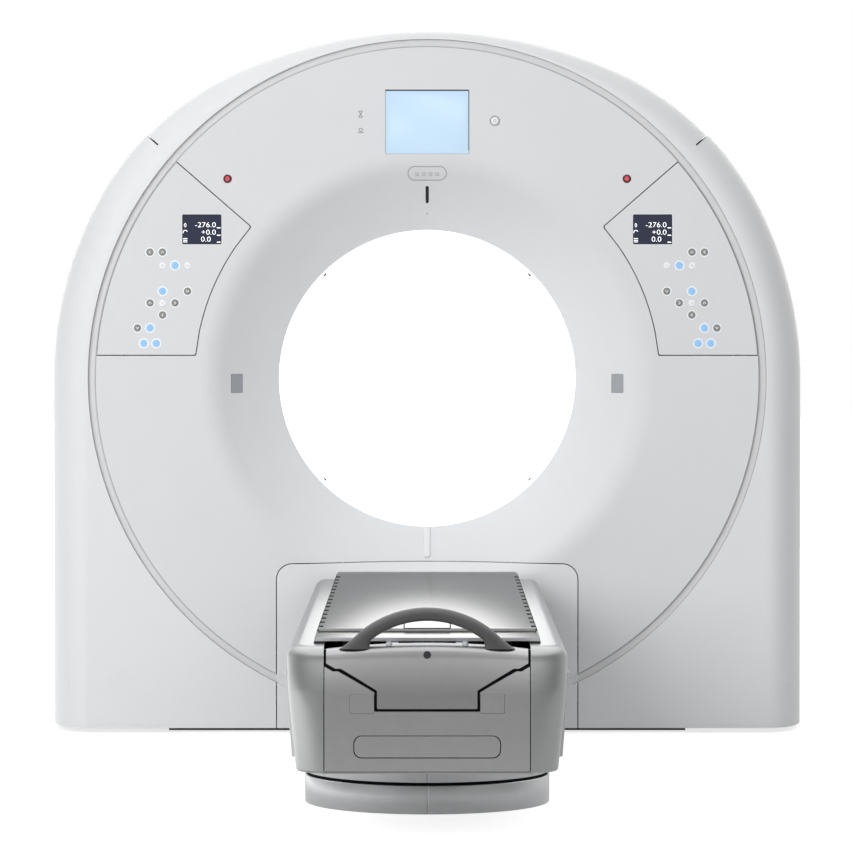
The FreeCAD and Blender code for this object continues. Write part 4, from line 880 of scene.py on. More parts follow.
def buildControlPanel(side, label):
    front = gantryShape["front"]
    loop = sectorLoop(side, gantryShape["gap"], gantryShape["discRadius"] - 1.5 * mm)
    low, high = corners(label + "_display")
    window = roundedLoop(rectangle(low, high), 2 * mm, 4)
    keys = [ringLoop(keyShape["radius"] + 0.6 * mm, 28, place)
            for kind in keyFinish for place in keyPlaces(side, kind)]

    def inside(x, z):
        return leaveOut(keys + [window], insideLoop(loop, x, z), x, z)

    def flat(x, z):
        return np.stack([x, np.full(x.shape, front), z], -1)

    part = facedPart([loop, window] + keys, inside, flat)
    piece = makePiece(label + "ControlPanel", part, "gantry", finish["discPaint"], label + "_control_panel",
                      smooth=False)
    roundEdges(thicken(piece, 9 * mm), 0.8 * mm, weighted=False)

    for kind, material in keyFinish.items():
        places = keyPlaces(side, kind)
        parts = [domedKey(place, keyShape["radius"], keyShape["dome"], front) for place in places]
        replaced = (label + "_keypad",) if kind == "dark" else ()
        piece = makePiece(label + kind.capitalize() + "Keys", joined(*parts), "gantry", finish[material], replaced)
        faceFront(piece)
    for kind, material, reach in (("blue", "haloPrint", 5 * mm), ("white", "panelPrint", 3 * mm),
                                  ("dark", "haloPrint", 4 * mm)):
        halos = [gridOf(turned([(keyShape["radius"] + 0.5 * mm, front - 0.15 * mm),
                                (keyShape["radius"] + reach, front - 0.15 * mm)],
                               np.linspace(0, 2 * np.pi, 33)[:-1], place), True) for place in keyPlaces(side, kind)]
        piece = makePiece(label + kind.capitalize() + "Halos", joined(*halos), "gantry", finish[material])
        faceFront(piece)
    buildKeyMarks(side, label, front)
    buildSmallDisplay(side, label, low, high, front)


def strokePart(points, width, front):
    # a flat stroke of even width along a few points, for small printed signs
    points = np.asarray(points, float)
    way = np.gradient(points, axis=0)
    way /= np.hypot(*way.T)[:, None]
    normal = np.stack([-way[:, 1], way[:, 0]], -1) * width / 2
    edges = np.concatenate([points + normal, (points - normal)[::-1]])
    return np.insert(edges, 1, front, axis=1), [list(range(len(edges)))]


def chevron(centre, reach, turn):
    corner = np.array([[-0.5, -0.35], [0, 0.4], [0.5, -0.35]]) * reach
    c, s = np.cos(np.radians(turn)), np.sin(np.radians(turn))
    return corner @ np.array([[c, s], [-s, c]]) + centre


def buildKeyMarks(side, label, front):
    # a small arrow or bar on each key, pale on dark keys and dark on pale ones
    for name, kinds, material in (("Pale", ("dark",), "paleMark"), ("Dark", ("white", "blue"), "greyMark")):
        marks = []
        for index, place in enumerate([place for kind in kinds for place in keyPlaces(side, kind)]):
            line = chevron(np.array(place), 0.75 * keyShape["radius"], 90 * (index % 4))
            marks.append(strokePart(line, 1.4 * mm, front - keyShape["dome"] - 0.15 * mm))
        piece = makePiece(label + name + "KeyMarks", joined(*marks), "gantry", finish[material])
        faceFront(piece)


def buildSmallDisplay(side, label, low, high, front):
    width, height = high[0] - low[0], high[2] - low[2]
    face = front + 1.2 * mm
    # a pale printed frame with soft corners round the window
    corner = rectangle(low, high)
    outward = np.array([[-1, -1], [1, -1], [1, 1], [-1, 1]])
    rims = np.array([roundedLoop(corner + outward * grow, 4 * mm + grow, 5) for grow in (-0.4 * mm, 2.6 * mm)])
    points, faces = gridOf(np.insert(rims, 1, front - 0.15 * mm, axis=2).transpose(1, 0, 2), closeRows=True)
    piece = makePiece(label + "DisplayFrame", (points, faces), "gantry", finish["panelPrint"])
    faceFront(piece)
    glass = plateBox(low[0] + 1.2 * mm, high[0] - 1.2 * mm, low[2] + 1.2 * mm, high[2] - 1.2 * mm, face, 6 * mm)
    piece = makePiece(label + "Display", glass, "gantry", finish["navyScreen"], label + "_display")
    faceFront(piece)
    roundEdges(piece, 0.6 * mm)
    parts = []
    rows = (("-276.0", 0.60), ("+0.0", 0.355), ("0.0", 0.125))
    for text, up in rows:
        right = low[0] + (0.86 if text != "0.0" else 0.73) * width
        parts.append(textPart(text, 0.24 * height, right, low[2] + (up - 0.03) * height, face))
        x0, z0 = low[0] + 0.88 * width, low[2] + (up - 0.05) * height
        parts.append(strokePart([[x0, z0], [x0 + 0.09 * width, z0]], 0.03 * height, face - 0.3 * mm))
    for up, signs in ((0.64, "arrow"), (0.40, "turn"), (0.14, "bars")):
        x0, z0 = low[0] + 0.08 * width, low[2] + up * height
        size = 0.07 * height
        if signs == "arrow":
            lines = [chevron(np.array([x0, z0 + flip * size / 2]), size, 90 - 90 * flip) for flip in (1, -1)]
        elif signs == "turn":
            arc = np.radians(np.linspace(20, 200, 9))
            lines = [np.stack([x0 + size * np.cos(arc), z0 + size * np.sin(arc)], -1)]
        else:
            levels = [z0 + step * size * 0.8 for step in (-1, 0, 1)]
            lines = [[[x0 - size, level], [x0 + size, level]] for level in levels]
        parts += [strokePart(line, 0.022 * height, face - 0.3 * mm) for line in lines]
    piece = makePiece(label + "Figures", joined(*parts), "gantry", finish["digitGlow"])
    faceFront(piece)


def buildMainDisplay():
    low, high = screen["low"], screen["high"]
    front = gantryShape["front"]
    face = front + 7 * mm
    rim = 1.2 * mm
    glass = plateBox(low[0] + rim, high[0] - rim, low[2] + rim, high[2] - rim, face, 6 * mm)
    piece = makePiece("mainDisplay", glass, "gantry", finish["skyScreen"], "main_display")
    faceFront(piece)
    # the opening's edge: black strips above and to the right paint the shade of the recess's walls, grey ones to the
    # left and below paint its lighter walls
    x0, x1, z0, z1 = low[0], high[0], low[2], high[2]
    top, side, thin = 3.6 * mm, 2.4 * mm, 1.4 * mm
    level = front + 1.5 * mm
    bars = {
        "blackAcetal": ((x0, x1, z1 - top, z1), (x1 - side, x1, z0 + 8 * thin, z1)),
        "greyAcetal": ((x0, x0 + thin, z0, z1 - top), (x0, x1 - side, z0, z0 + thin)),
    }
    for index, (material, places) in enumerate(bars.items()):
        parts = [plateBox(*place, level - index * 0.2 * mm, 5 * mm) for place in places]
        piece = makePiece("displayRecessShade" + str(index + 1), joined(*parts), "gantry", finish[material],
                          smooth=False)
        faceFront(piece)

    # two plain signs left of the display
    parts = []
    for up, kind in ((792 * mm, "timer"), (745 * mm, "beam")):
        centre = np.array([-199 * mm, isoHeight + up])
        size = 9 * mm
        if kind == "timer":
            ends = ([(-0.7, 1), (0.7, 1)], [(-0.7, -1), (0.7, -1)], [(-0.55, 0.9), (0.55, -0.9)],
                    [(0.55, 0.9), (-0.55, -0.9)])
            lines = [centre + size * np.array(pair) for pair in ends]
        else:
            arc = np.radians(np.linspace(0, 360, 19))
            lines = [centre + 0.55 * size * np.stack([np.cos(arc), np.sin(arc)], -1),
                     centre + size * np.array([(-1, -0.9), (1, -0.9)])]
        parts += [strokePart(line, 2.2 * mm, front - 0.25 * mm) for line in lines]
    piece = makePiece("panelSigns", joined(*parts), "gantry", finish["softMark"])
    faceFront(piece)


def buildButtons():
    front = gantryShape["front"]
    turns = np.linspace(0, 2 * np.pi, 49)[:-1]
    collars = {"left_stop": "blackAcetal", "right_stop": "blackAcetal", "start": "greyAcetal"}
    cupParts = {"blackAcetal": [], "greyAcetal": []}
    for name, collar in collars.items():
        low, high = corners(name + "_button")
        centre, radius = ((low[0] + high[0]) / 2, (low[2] + high[2]) / 2), (high[0] - low[0]) / 2
        red = name != "start"
        cap = [(0.02 * mm, -2.6 * mm), (0.55 * radius, -2.4 * mm), (0.85 * radius, -1.6 * mm), (radius, -0.4 * mm),
               (radius, 10 * mm)]
        profile = [(r, front + along) for r, along in cap]
        body = name if red else "start_key"
        piece = makePiece(name.replace("_", "") + "Cap", gridOf(turned(profile, turns, centre), True), body,
                          finish["redAcetal" if red else "whiteSilicone"], name + "_button")
        faceFront(piece)
        rim = ringLoop(0.42 * radius, 20, centre)
        core = ringLoop(0.26 * radius, 20, centre)
        mark = facedPart([rim, core], between(rim, core),
                         lambda x, z: np.stack([x, np.full(x.shape, front - 2.9 * mm), z], -1))
        makePiece(name.replace("_", "") + "Mark", mark, body, finish["whiteMark" if red else "greyMark"],
                  away="front")
        wall = 3.4 * mm
        ring = [(radius + 0.4 * mm, 8 * mm), (radius + 0.4 * mm, -1.4 * mm), (radius + 1.0 * mm, -2 * mm),
                (radius + wall - 0.8 * mm, -2 * mm), (radius + wall, -1.2 * mm), (radius + wall, 4 * mm)]
        cupParts[collar].append(gridOf(turned([(r, front + along) for r, along in ring], turns, centre), True))
    for index, (material, parts) in enumerate(cupParts.items()):
        piece = makePiece("buttonCollars" + str(index + 1), joined(*parts), "gantry", finish[material],
                          "button_bezels" if index == 0 else ())
        faceFront(piece)


# couch

couchLow, couchHigh = corners("right_couch_cover")
tableLow, tableHigh = corners("table_top")
overlayLow, overlayHigh = corners("index_overlay")
endHigh = corners("end_cover")[1]
couchShape = {
    "front": float(couchLow[1]), "back": float(couchHigh[1]), "half": float(couchHigh[0]),
    "foot": float(couchLow[2]), "top": float(couchHigh[2]), "corner": 85 * mm, "taper": 22 * mm, "bulge": 30 * mm,
    "belly": 350 * mm, "shoulder": 385 * mm, "edge": 30 * mm, "brow": 24 * mm, "seam": 243 * mm, "crown": 7 * mm,
    "hem": 8 * mm,
}


def couchFront(height):
    # side view of the couch's front end: upright at its belly, and bending away above and below it
    belly, top, foot = couchShape["belly"], couchShape["top"], couchShape["foot"]
    over = np.clip((height - belly) / (top - belly), 0, None)
    under = np.clip((belly - height) / (belly - foot), 0, None)
    return couchShape["front"] + couchShape["bulge"] * (over ** 1.5 + 0.4 * under ** 1.5)


def couchHalf(height):
    # half width of the couch: a slight taper below the shoulder and upright above it
    low = couchShape["half"] - couchShape["taper"]
    share = (height - couchShape["foot"]) / (couchShape["shoulder"] - couchShape["foot"])
    slope = low + couchShape["taper"] * share
    soft = 2 * mm
    inset = couchShape["half"] - slope
    return couchShape["half"] - 0.5 * (inset + np.sqrt(inset ** 2 + 4 * soft ** 2)) + soft


def browed(length, radius):
    # (height, setback) at a length measured up the face and then over the rounded brow and along the top
    top = couchShape["top"]
    start = top - radius
    arc = 0.5 * np.pi * radius
    angle = np.clip((length - start) / radius, 0, np.pi / 2)
    height = np.where(length < start, length, start + radius * np.sin(angle))
    setback = radius * (1 - np.cos(angle)) + np.maximum(length - start - arc, 0)
    return height, setback


def cornerSetback(x, height):
    # how far the plan's round corner carries the face back, where the corner reaches in past the seam
    corner = couchShape["corner"]
    past = np.clip(np.abs(x) - (couchHalf(height) - corner), 0, corner)
    return corner - np.sqrt(corner ** 2 - past ** 2)


def couchFace(x, length):
    # the front end at a place across and a length up the face; a low crown lifts its top in the middle
    height, setback = browed(length, couchShape["brow"])
    start = couchShape["top"] - couchShape["brow"]
    along = couchFront(np.minimum(height, start)) + setback + cornerSetback(x, np.minimum(height, start))
    lift = couchShape["crown"] * (1 - 2 * (x / couchShape["seam"]) ** 2)
    share = np.clip((height - 0.36) / (couchShape["top"] - 0.36), 0, 1)
    return np.stack([x, along, height + lift * share ** 2], -1)


endShape = {
    "side": 238 * mm, "sideLow": 434 * mm, "step": 216 * mm, "stepLow": 420 * mm, "slope": 204 * mm,
    "keel": 118 * mm, "keelTop": 368 * mm, "keelLow": 325 * mm, "gap": 6.4 * mm,
}


def cradleLoop(grow, top):
    side = endShape["side"] + grow
    keel = endShape["keel"] + grow
    right = [
        (keel, endShape["keelLow"] - grow), (keel, endShape["keelTop"] - 0.6 * grow),
        (endShape["slope"] + grow, endShape["stepLow"] - grow), (endShape["step"] + grow, endShape["stepLow"] - grow),
        (side, endShape["sideLow"] - grow), (side, top)]
    left = [(-x, z) for x, z in reversed(right)]
    radii = [3 * mm] * 4 + [2 * mm, 0]
    return roundedLoop(right + left, radii + radii[::-1], 4)


def spread(loop, step):
    # a grid of free points inside an outline
    low, high = loop.min(axis=0), loop.max(axis=0)
    grid = np.meshgrid(np.arange(low[0], high[0], step), np.arange(low[1], high[1], step))
    grid = np.stack(grid, -1).reshape(-1, 2)
    return clearOf(grid[insideLoop(loop, grid[:, 0], grid[:, 1])], [loop], 0.35 * step)


def squareCap(side, grow):
    near, far, low, high = 125 * mm - grow, 182 * mm + grow, 315 * mm - grow, 358 * mm + grow
    return roundedLoop([[side * near, low], [side * far, low], [side * far, high], [side * near, high]][::side],
                       2 * mm, 3)


def buildCouchEnd():
    depth = float(endHigh[1]) - float(couchFront(couchShape["top"] - couchShape["brow"]))
    arc = couchShape["brow"] * (np.pi / 2 - 1)
    top = couchShape["top"] + arc + depth - couchShape["brow"]
    loop = cradleLoop(0, top)
    part = facedPart([loop], within(loop), couchFace, spread(loop, 8 * mm))
    piece = makePiece("endCover", part, "table", finish["cradlePaint"], "end_cover",
                      away="front")
    roundEdges(thicken(piece, 18 * mm), 1.6 * mm, 3)

    # front panel with the access panel let into it
    inner = couchShape["seam"] - 1.3 * mm
    foot = couchShape["foot"] + 5 * mm
    edge = [[-inner, foot], [inner, foot], [inner, 0.60], [-inner, 0.60]]
    opening = cradleLoop(endShape["gap"], 0.62)
    plateLoop = rectangle(*corners("access_panel"))
    hole = roundedLoop(plateLoop, 19 * mm, 8)
    border = np.array(edge)
    caps = [squareCap(side, 0.5 * mm) for side in (-1, 1)]

    def inside(x, s):
        return leaveOut([opening, hole] + caps, insideLoop(border, x, s), x, s)

    sample = spread(border, 8 * mm)
    sample = sample[inside(sample[:, 0], sample[:, 1])]
    sample = clearOf(sample, [opening, hole] + caps, 2.5 * mm)
    part = facedPart([border, opening, hole] + caps, inside, couchFace, sample)
    piece = makePiece("couchFrontPanel", part, "couch", finish["couchPaint"], "couch_front_panel",
                      away="front")
    roundEdges(thicken(piece, 18 * mm), 1.4 * mm, 3)
    centre = plateLoop.mean(axis=0)
    shrunk = roundedLoop(centre + (plateLoop - centre) * (1 - 2 * mm / np.abs(plateLoop - centre)), 18 * mm, 8)
    part = facedPart([shrunk], within(shrunk), couchFace, spread(shrunk, 8 * mm))
    piece = makePiece("accessPanel", part, "couch", finish["couchPaint"], "access_panel", away="front")
    roundEdges(thicken(piece, 6 * mm), 1 * mm, 3)

    # black strips behind the joints with the side covers paint the shade in them
    reach = np.linspace(foot + 6 * mm, couchShape["top"] + 8 * mm, 60)
    strips = [gridOf(couchFace(side * couchShape["seam"] + np.linspace(-7, 7, 5)[None] * mm + 0 * reach[:, None],
                                reach[:, None] + np.zeros(5))
                     + [0, 3.2 * mm, -0.5 * mm]) for side in (-1, 1)]
    makePiece("couchSeamShade", joined(*strips), "couch", finish["neopreneAndShade"],
              away="front")

    # a black sheet behind the gap round the end cover paints the shade in it
    near, far = cradleLoop(0.9 * mm, 0.475), cradleLoop(endShape["gap"] - 0.5 * mm, 0.475)
    gapShade = facedPart([near, far], between(far, near),
                     lambda x, s: couchFace(x, s) + [0, 4 * mm, 0])
    makePiece("endGapShade", gapShade, "couch", finish["neopreneAndShade"], away="front")

    # two square caps beside the end cover's keel, flush with the panel
    parts = []
    for side in (-1, 1):
        cap = squareCap(side, 0)
        parts.append(facedPart([cap], within(cap), couchFace, spread(cap, 8 * mm)))
    piece = makePiece("frontCaps", joined(*parts), "couch", finish["couchPaint"], away="front")
    roundEdges(thicken(piece, 3 * mm), 0.6 * mm)


def buildCouchSides():
    # each flank is one sheet: in from under the couch, up, round the shoulder and in over the top
    corner, edge, hem, back = (couchShape[key] for key in ("corner", "edge", "hem", "back"))
    seam = couchShape["seam"] + 1.0 * mm
    low, high = couchShape["foot"] + hem, couchShape["top"] - edge
    quarter = np.linspace(0, np.pi / 2, 10)
    # heights up the flank with how far each row is set back from the outline
    shoulder = couchShape["shoulder"]
    heights = np.concatenate([low - hem * np.cos(quarter[:-1]), np.linspace(low, shoulder - 20 * mm, 12),
                              np.linspace(shoulder - 15 * mm, high, 9)[:-1], high + edge * np.sin(quarter)])
    setback = np.concatenate([hem * (1 - np.sin(quarter[:-1])), np.zeros(20), edge * (1 - np.cos(quarter))])
    straight = np.linspace(0, 1, 40)
    rows = []
    for height, inset in zip(heights, setback):
        level = np.clip(height, low, high)
        half, front, radius = couchHalf(level) - inset, couchFront(level) + inset, corner - inset
        reach = np.arccos(np.clip((seam + 1.5 * mm - (half - radius)) / radius, 0, 1))
        bend = reach * np.linspace(0, 1, 16)[1:]
        flank = np.stack([np.full(40, half), back + (front + radius - back) * straight], -1)
        turn = np.stack([half - radius + radius * np.cos(bend), front + radius - radius * np.sin(bend)], -1)
        face = np.stack([np.linspace(turn[-1, 0], seam, 4)[1:], np.full(3, turn[-1, 1])], -1)
        row = np.concatenate([flank, turn, face])
        rows.append(np.insert(row, 2, height, axis=1))
    rows = np.array(rows)
    inward = np.linspace(0, 1, 6)[1:, None, None]

    def turnedIn(row):
        target = row.copy()
        target[:, 0] = seam
        return row[None] * (1 - inward) + target[None] * inward

    grid = np.concatenate([turnedIn(rows[0])[::-1], rows, turnedIn(rows[-1])])
    for side, label in ((1, "right"), (-1, "left")):
        part = gridOf(grid * np.array([side, 1, 1]))
        piece = makePiece(label + "CouchCover", part, "couch", finish["couchSidePaint"], label + "_couch_cover")
        orient(piece, lambda face, s=side: s * face.normal.x)
        roundEdges(thicken(piece, 4 * mm), 1.0 * mm, 2, 50)


def buildHandle():
    # a bow of round tube whose ends spread into two feet on the end cover
    low, high = corners("table_handle")
    bow = {"tube": 16.0 * mm, "span": 172 * mm, "rise": 76 * mm, "end": 38, "footAcross": 170 * mm,
           "footHalf": 33 * mm, "footDeep": 13 * mm, "footLevel": 464 * mm}
    radius = (bow["span"] ** 2 + bow["rise"] ** 2) / (2 * bow["rise"])
    along = float(low[1] + high[1]) / 2 + 3 * mm
    centre = couchShape["top"] + bow["rise"] - radius
    section = np.linspace(0, 2 * np.pi, 33)[:-1]
    across, deep = np.cos(section), np.sin(section)

    def ring(turn):
        r = radius + bow["tube"] * across
        return np.stack([r * np.sin(turn), along + bow["tube"] * deep, centre + r * np.cos(turn)], -1)

    end = np.radians(bow["end"])
    arch = np.array([ring(turn) for turn in np.linspace(-end, end, 61)])
    foot = np.stack([bow["footAcross"] + bow["footHalf"] * across, along + bow["footDeep"] * deep,
                     np.full(len(section), bow["footLevel"])], -1)
    # straight flanks from the bow's end to the foot, with a small flare at the bottom
    share = np.linspace(0, 1, 13)[1:, None, None]
    right = arch[-1][None] * (1 - share) + foot[None] * share
    right[..., 0] += np.sign(across)[None, :] * np.abs(across)[None, :] * 5 * mm * (share[..., 0] ** 6)
    left = (right * np.array([-1, 1, 1]))[::-1]
    grid = np.concatenate([left, arch, right]).transpose(1, 0, 2)
    points, faces = gridOf(grid, closeRows=True)
    piece = makePiece("tableHandle", (points, faces), "table", finish["handleFoam"], "table_handle")
    orient(piece, lambda face: face.normal.x * face.center.x + face.normal.z * (face.center.z - centre))


def buildTable():
    dressNode("table_top", finish["brushedTop"], 1.2 * mm)
    dressNode("index_overlay", finish["brushedTop"], 0.8 * mm)
    trim = {"strip": 6 * mm, "notches": 15, "margin": 180 * mm, "tooth": 20 * mm, "toothDeep": 11 * mm,
            "clipHalf": 55 * mm, "clipLength": 166 * mm, "shadeBlockAcross": 258 * mm, "shadeBlockHalf": 12 * mm}
    near, far = float(tableLow[1]), float(overlayLow[1])
    half = float(overlayHigh[0])
    # painted shade at the overlay's near step, shadow strips under its notches, and black blocks under the rails'
    # corners that paint the shade between table and end cover
    top = float(overlayHigh[2])
    level, back = tableHigh[2] + 0.2 * mm, far - trim["strip"]
    joint = np.array([[-half, back, level], [half, back, level], [half, far, level], [-half, far, level]])
    makePiece("overlayJoint", (joint, [[0, 1, 2, 3]]), "table", finish["neopreneAndShade"])
    side, shadow = float(tableHigh[0]), tableHigh[2] + 0.3 * mm
    strips = [plateGrid(*sorted((flip * (side + 0.4 * mm), flip * (side - 12 * mm))), far + 1 * mm,
                        float(overlayHigh[1]) - 1 * mm, shadow, 0.2 * mm) for flip in (-1, 1)]
    makePiece("notchShadow", joined(*strips), "table", finish["neopreneAndShade"], smooth=False)
    caps = [plateGrid(flip * trim["shadeBlockAcross"] - trim["shadeBlockHalf"], flip * trim["shadeBlockAcross"] + trim["shadeBlockHalf"],
                      near + 2 * mm, near + 60 * mm, float(tableLow[2]) - 0.2 * mm, 3.2 * mm) for flip in (-1, 1)]
    makePiece("railCornerShade", joined(*caps), "table", finish["blackAcetal"], smooth=False)
    # a raised clip with its shadow line
    reach, length = trim["clipHalf"], trim["clipLength"]
    shade = plateGrid(-reach - 3 * mm, reach + 3 * mm, far + 1 * mm, far + length + 12 * mm, top + 0.5 * mm, 0.3 * mm)
    makePiece("clipShadow", shade, "table", finish["neopreneAndShade"], smooth=False)
    clip = plateGrid(-reach, reach, far - 1 * mm, far + length, top + 1.6 * mm, 1.2 * mm)
    makePiece("overlayClip", clip, "table", finish["brushedTop"], smooth=False)
    # black teeth round the notches along both edges of the overlay paint the shade in the notches
    pitch = (float(overlayHigh[1]) - far - trim["margin"]) / trim["notches"]
    shadeTeeth = []
    for flip in (-1, 1):
        edges = sorted((flip * (half + 0.3 * mm), flip * (half - trim["toothDeep"])))
        for step in range(trim["notches"]):
            middle = far + (step + 0.5) * pitch
            shadeTeeth.append(plateGrid(*edges, middle - trim["tooth"], middle + trim["tooth"], top + 0.35 * mm, 0.3 * mm))
    makePiece("notchShadeTeeth", joined(*shadeTeeth), "table", finish["neopreneAndShade"], smooth=False)
    # bare edges of the table top and of the overlay
    nose = plateGrid(-float(tableHigh[0]) + 2 * mm, float(tableHigh[0]) - 2 * mm, near - 0.6 * mm, near + 2 * mm,
                     tableHigh[2] - 1 * mm, 7 * mm)
    lip = plateGrid(-half + 2 * mm, half - 2 * mm, far - 0.6 * mm, far + 2 * mm, top - 2.4 * mm, 3.2 * mm)
    makePiece("tableNose", joined(nose, lip), "table", finish["greyAcetal"], smooth=False)
    # two stop posts on the end cover
    bumpers = []
    for side in (-1, 1):
        profile = [(0.02 * mm, 481.5 * mm), (5 * mm, 481 * mm), (7 * mm, 479 * mm), (7 * mm, 470 * mm)]
        foot = (side * 90 * mm, float(endHigh[1]) - 12 * mm)
        bumpers.append(gridOf(upright(profile, fullTurn[::12], foot), True))
    piece = makePiece("endBumpers", joined(*bumpers), "table", finish["greyAcetal"])
    orient(piece, lambda face: face.normal.z)


def plateGrid(x0, x1, y0, y1, top, thickness):
    corner = np.array([[x0, y0], [x1, y0], [x1, y1], [x0, y1]])
    upper = np.insert(corner, 2, top, axis=1)
    lower = np.insert(corner, 2, top - thickness, axis=1)
    sides = [[i, 4 + i, 4 + (i + 1) % 4, (i + 1) % 4] for i in range(4)]
    return np.concatenate([upper, lower]), [[0, 1, 2, 3], [7, 6, 5, 4]] + sides


def buildPedestal():
    # foot ring and skirts: rolled sheet with a butt joint at the front
    ringLow, ringHigh = corners("couch_foot_ring")
    centre = (0.0, float(ringLow[1] + ringHigh[1]) / 2)
    turns = np.concatenate([[-0.0024, -0.0012, 0.0012, 0.0024], np.linspace(0.02, 2 * np.pi - 0.02, 236)])
    dip = np.where(np.abs(turns) < 0.0013, 2.5 * mm, 0.0)

    def outward(face):
        return face.normal.x * face.center.x + face.normal.y * (face.center.y - centre[1])

    def sleeve(name, node, body, bevel, proud=0.0):
        low, high = corners(node)
        radius, bottom, top = float(high[0]) + proud, float(low[2]), float(high[2])
        wall, soft = 5 * mm, 0.3 * bevel
        profile = np.array([(radius - wall, bottom), (radius - bevel, bottom), (radius - soft, bottom + soft),
                            (radius, bottom + bevel), (radius, top - bevel), (radius - soft, top - soft),
                            (radius - bevel, top), (radius - wall, top)])
        grid = upright(profile, turns, centre)
        inward = dip[:, None] * np.array([0, 1, 1, 1, 1, 1, 1, 0])[None]
        grid[..., 0] -= inward * np.sin(turns)[:, None]
        grid[..., 1] += inward * np.cos(turns)[:, None]
        points, faces = gridOf(grid, closeRows=True)
        piece = makePiece(name, (points, faces), body, finish["skirtPaint"], node)
        orient(piece, outward)

    # a black ring paints the shade in the gap between foot ring and skirt; black strips paint the shade in the butt
    # joints
    skirtLow, skirtHigh = corners("outer_skirt")
    radius = float(ringHigh[0])
    low, high = float(ringHigh[2]) + 0.3 * mm, float(skirtLow[2]) - 0.3 * mm
    near, far = radius - 1.5 * mm, radius - 12 * mm
    lip = upright([(far, low), (near, low), (near, high), (far, high)], fullTurn, centre)
    piece = makePiece("skirtGapShade", gridOf(lip, True), "gantry", finish["neopreneAndShade"])
    orient(piece, outward)
    for name, body, bottom, top in (("ringJoint", "gantry", ringLow[2], ringHigh[2]),
                                    ("skirtJoint", "skirt_stage_outer", skirtLow[2], skirtHigh[2])):
        front = centre[1] - radius + 0.9 * mm
        strip = [[-0.8 * mm, front, bottom + 1 * mm], [0.8 * mm, front, bottom + 1 * mm],
                 [0.8 * mm, front, top - 1 * mm], [-0.8 * mm, front, top - 1 * mm]]
        makePiece(name, (np.array(strip, float), [[0, 1, 2, 3]]), body, finish["neopreneAndShade"])

    sleeve("footRing", "couch_foot_ring", "gantry", 2 * mm, 3 * mm)
    sleeve("outerSkirt", "outer_skirt", "skirt_stage_outer", 1.2 * mm)
    dressNode("middle_skirt", finish["skirtPaint"])
    dressNode("inner_skirt", finish["skirtPaint"])


def dressInnerNodes():
    plain = {
        "frameSteel": ("gantry_base", "gantry_upright", "couch_foot_plate", "couch_chassis", "middle_column",
                       "inner_column"),
        "groundSteel": ("bearing_outer_ring", "bearing_inner_ring", "slide_rails"),
        "castAluminium": ("rotor_drum", "drive_stator", "table_carriage", "collimator"),
        "brassTracks": ("slip_ring",),
        "unitPaint": ("brush_block", "xray_tube", "detector_array", "hv_generator", "cooling_unit"),
        "stripVinyl": ("side_strips",),
        "couchPaint": ("couch_rear_panel", "couch_bottom_pan"),
        "blackAcetal": ("release_button",),
    }
    for material, names in plain.items():
        for name in names:
            edge = 1.5 * mm if name in ("side_strips", "release_button") else 0.0
            dressNode(name, finish[material], edge)


# the set: floor, lamps and camera

studio = {"horizon": 0.4, "overhead": 0.66, "leftward": 0.04, "frontal": 0.22, "wall": 3.0, "softBox": 1.5,
          "backdrop": 0.6, "nearGlow": 0.36, "sideGlow": 1.1}


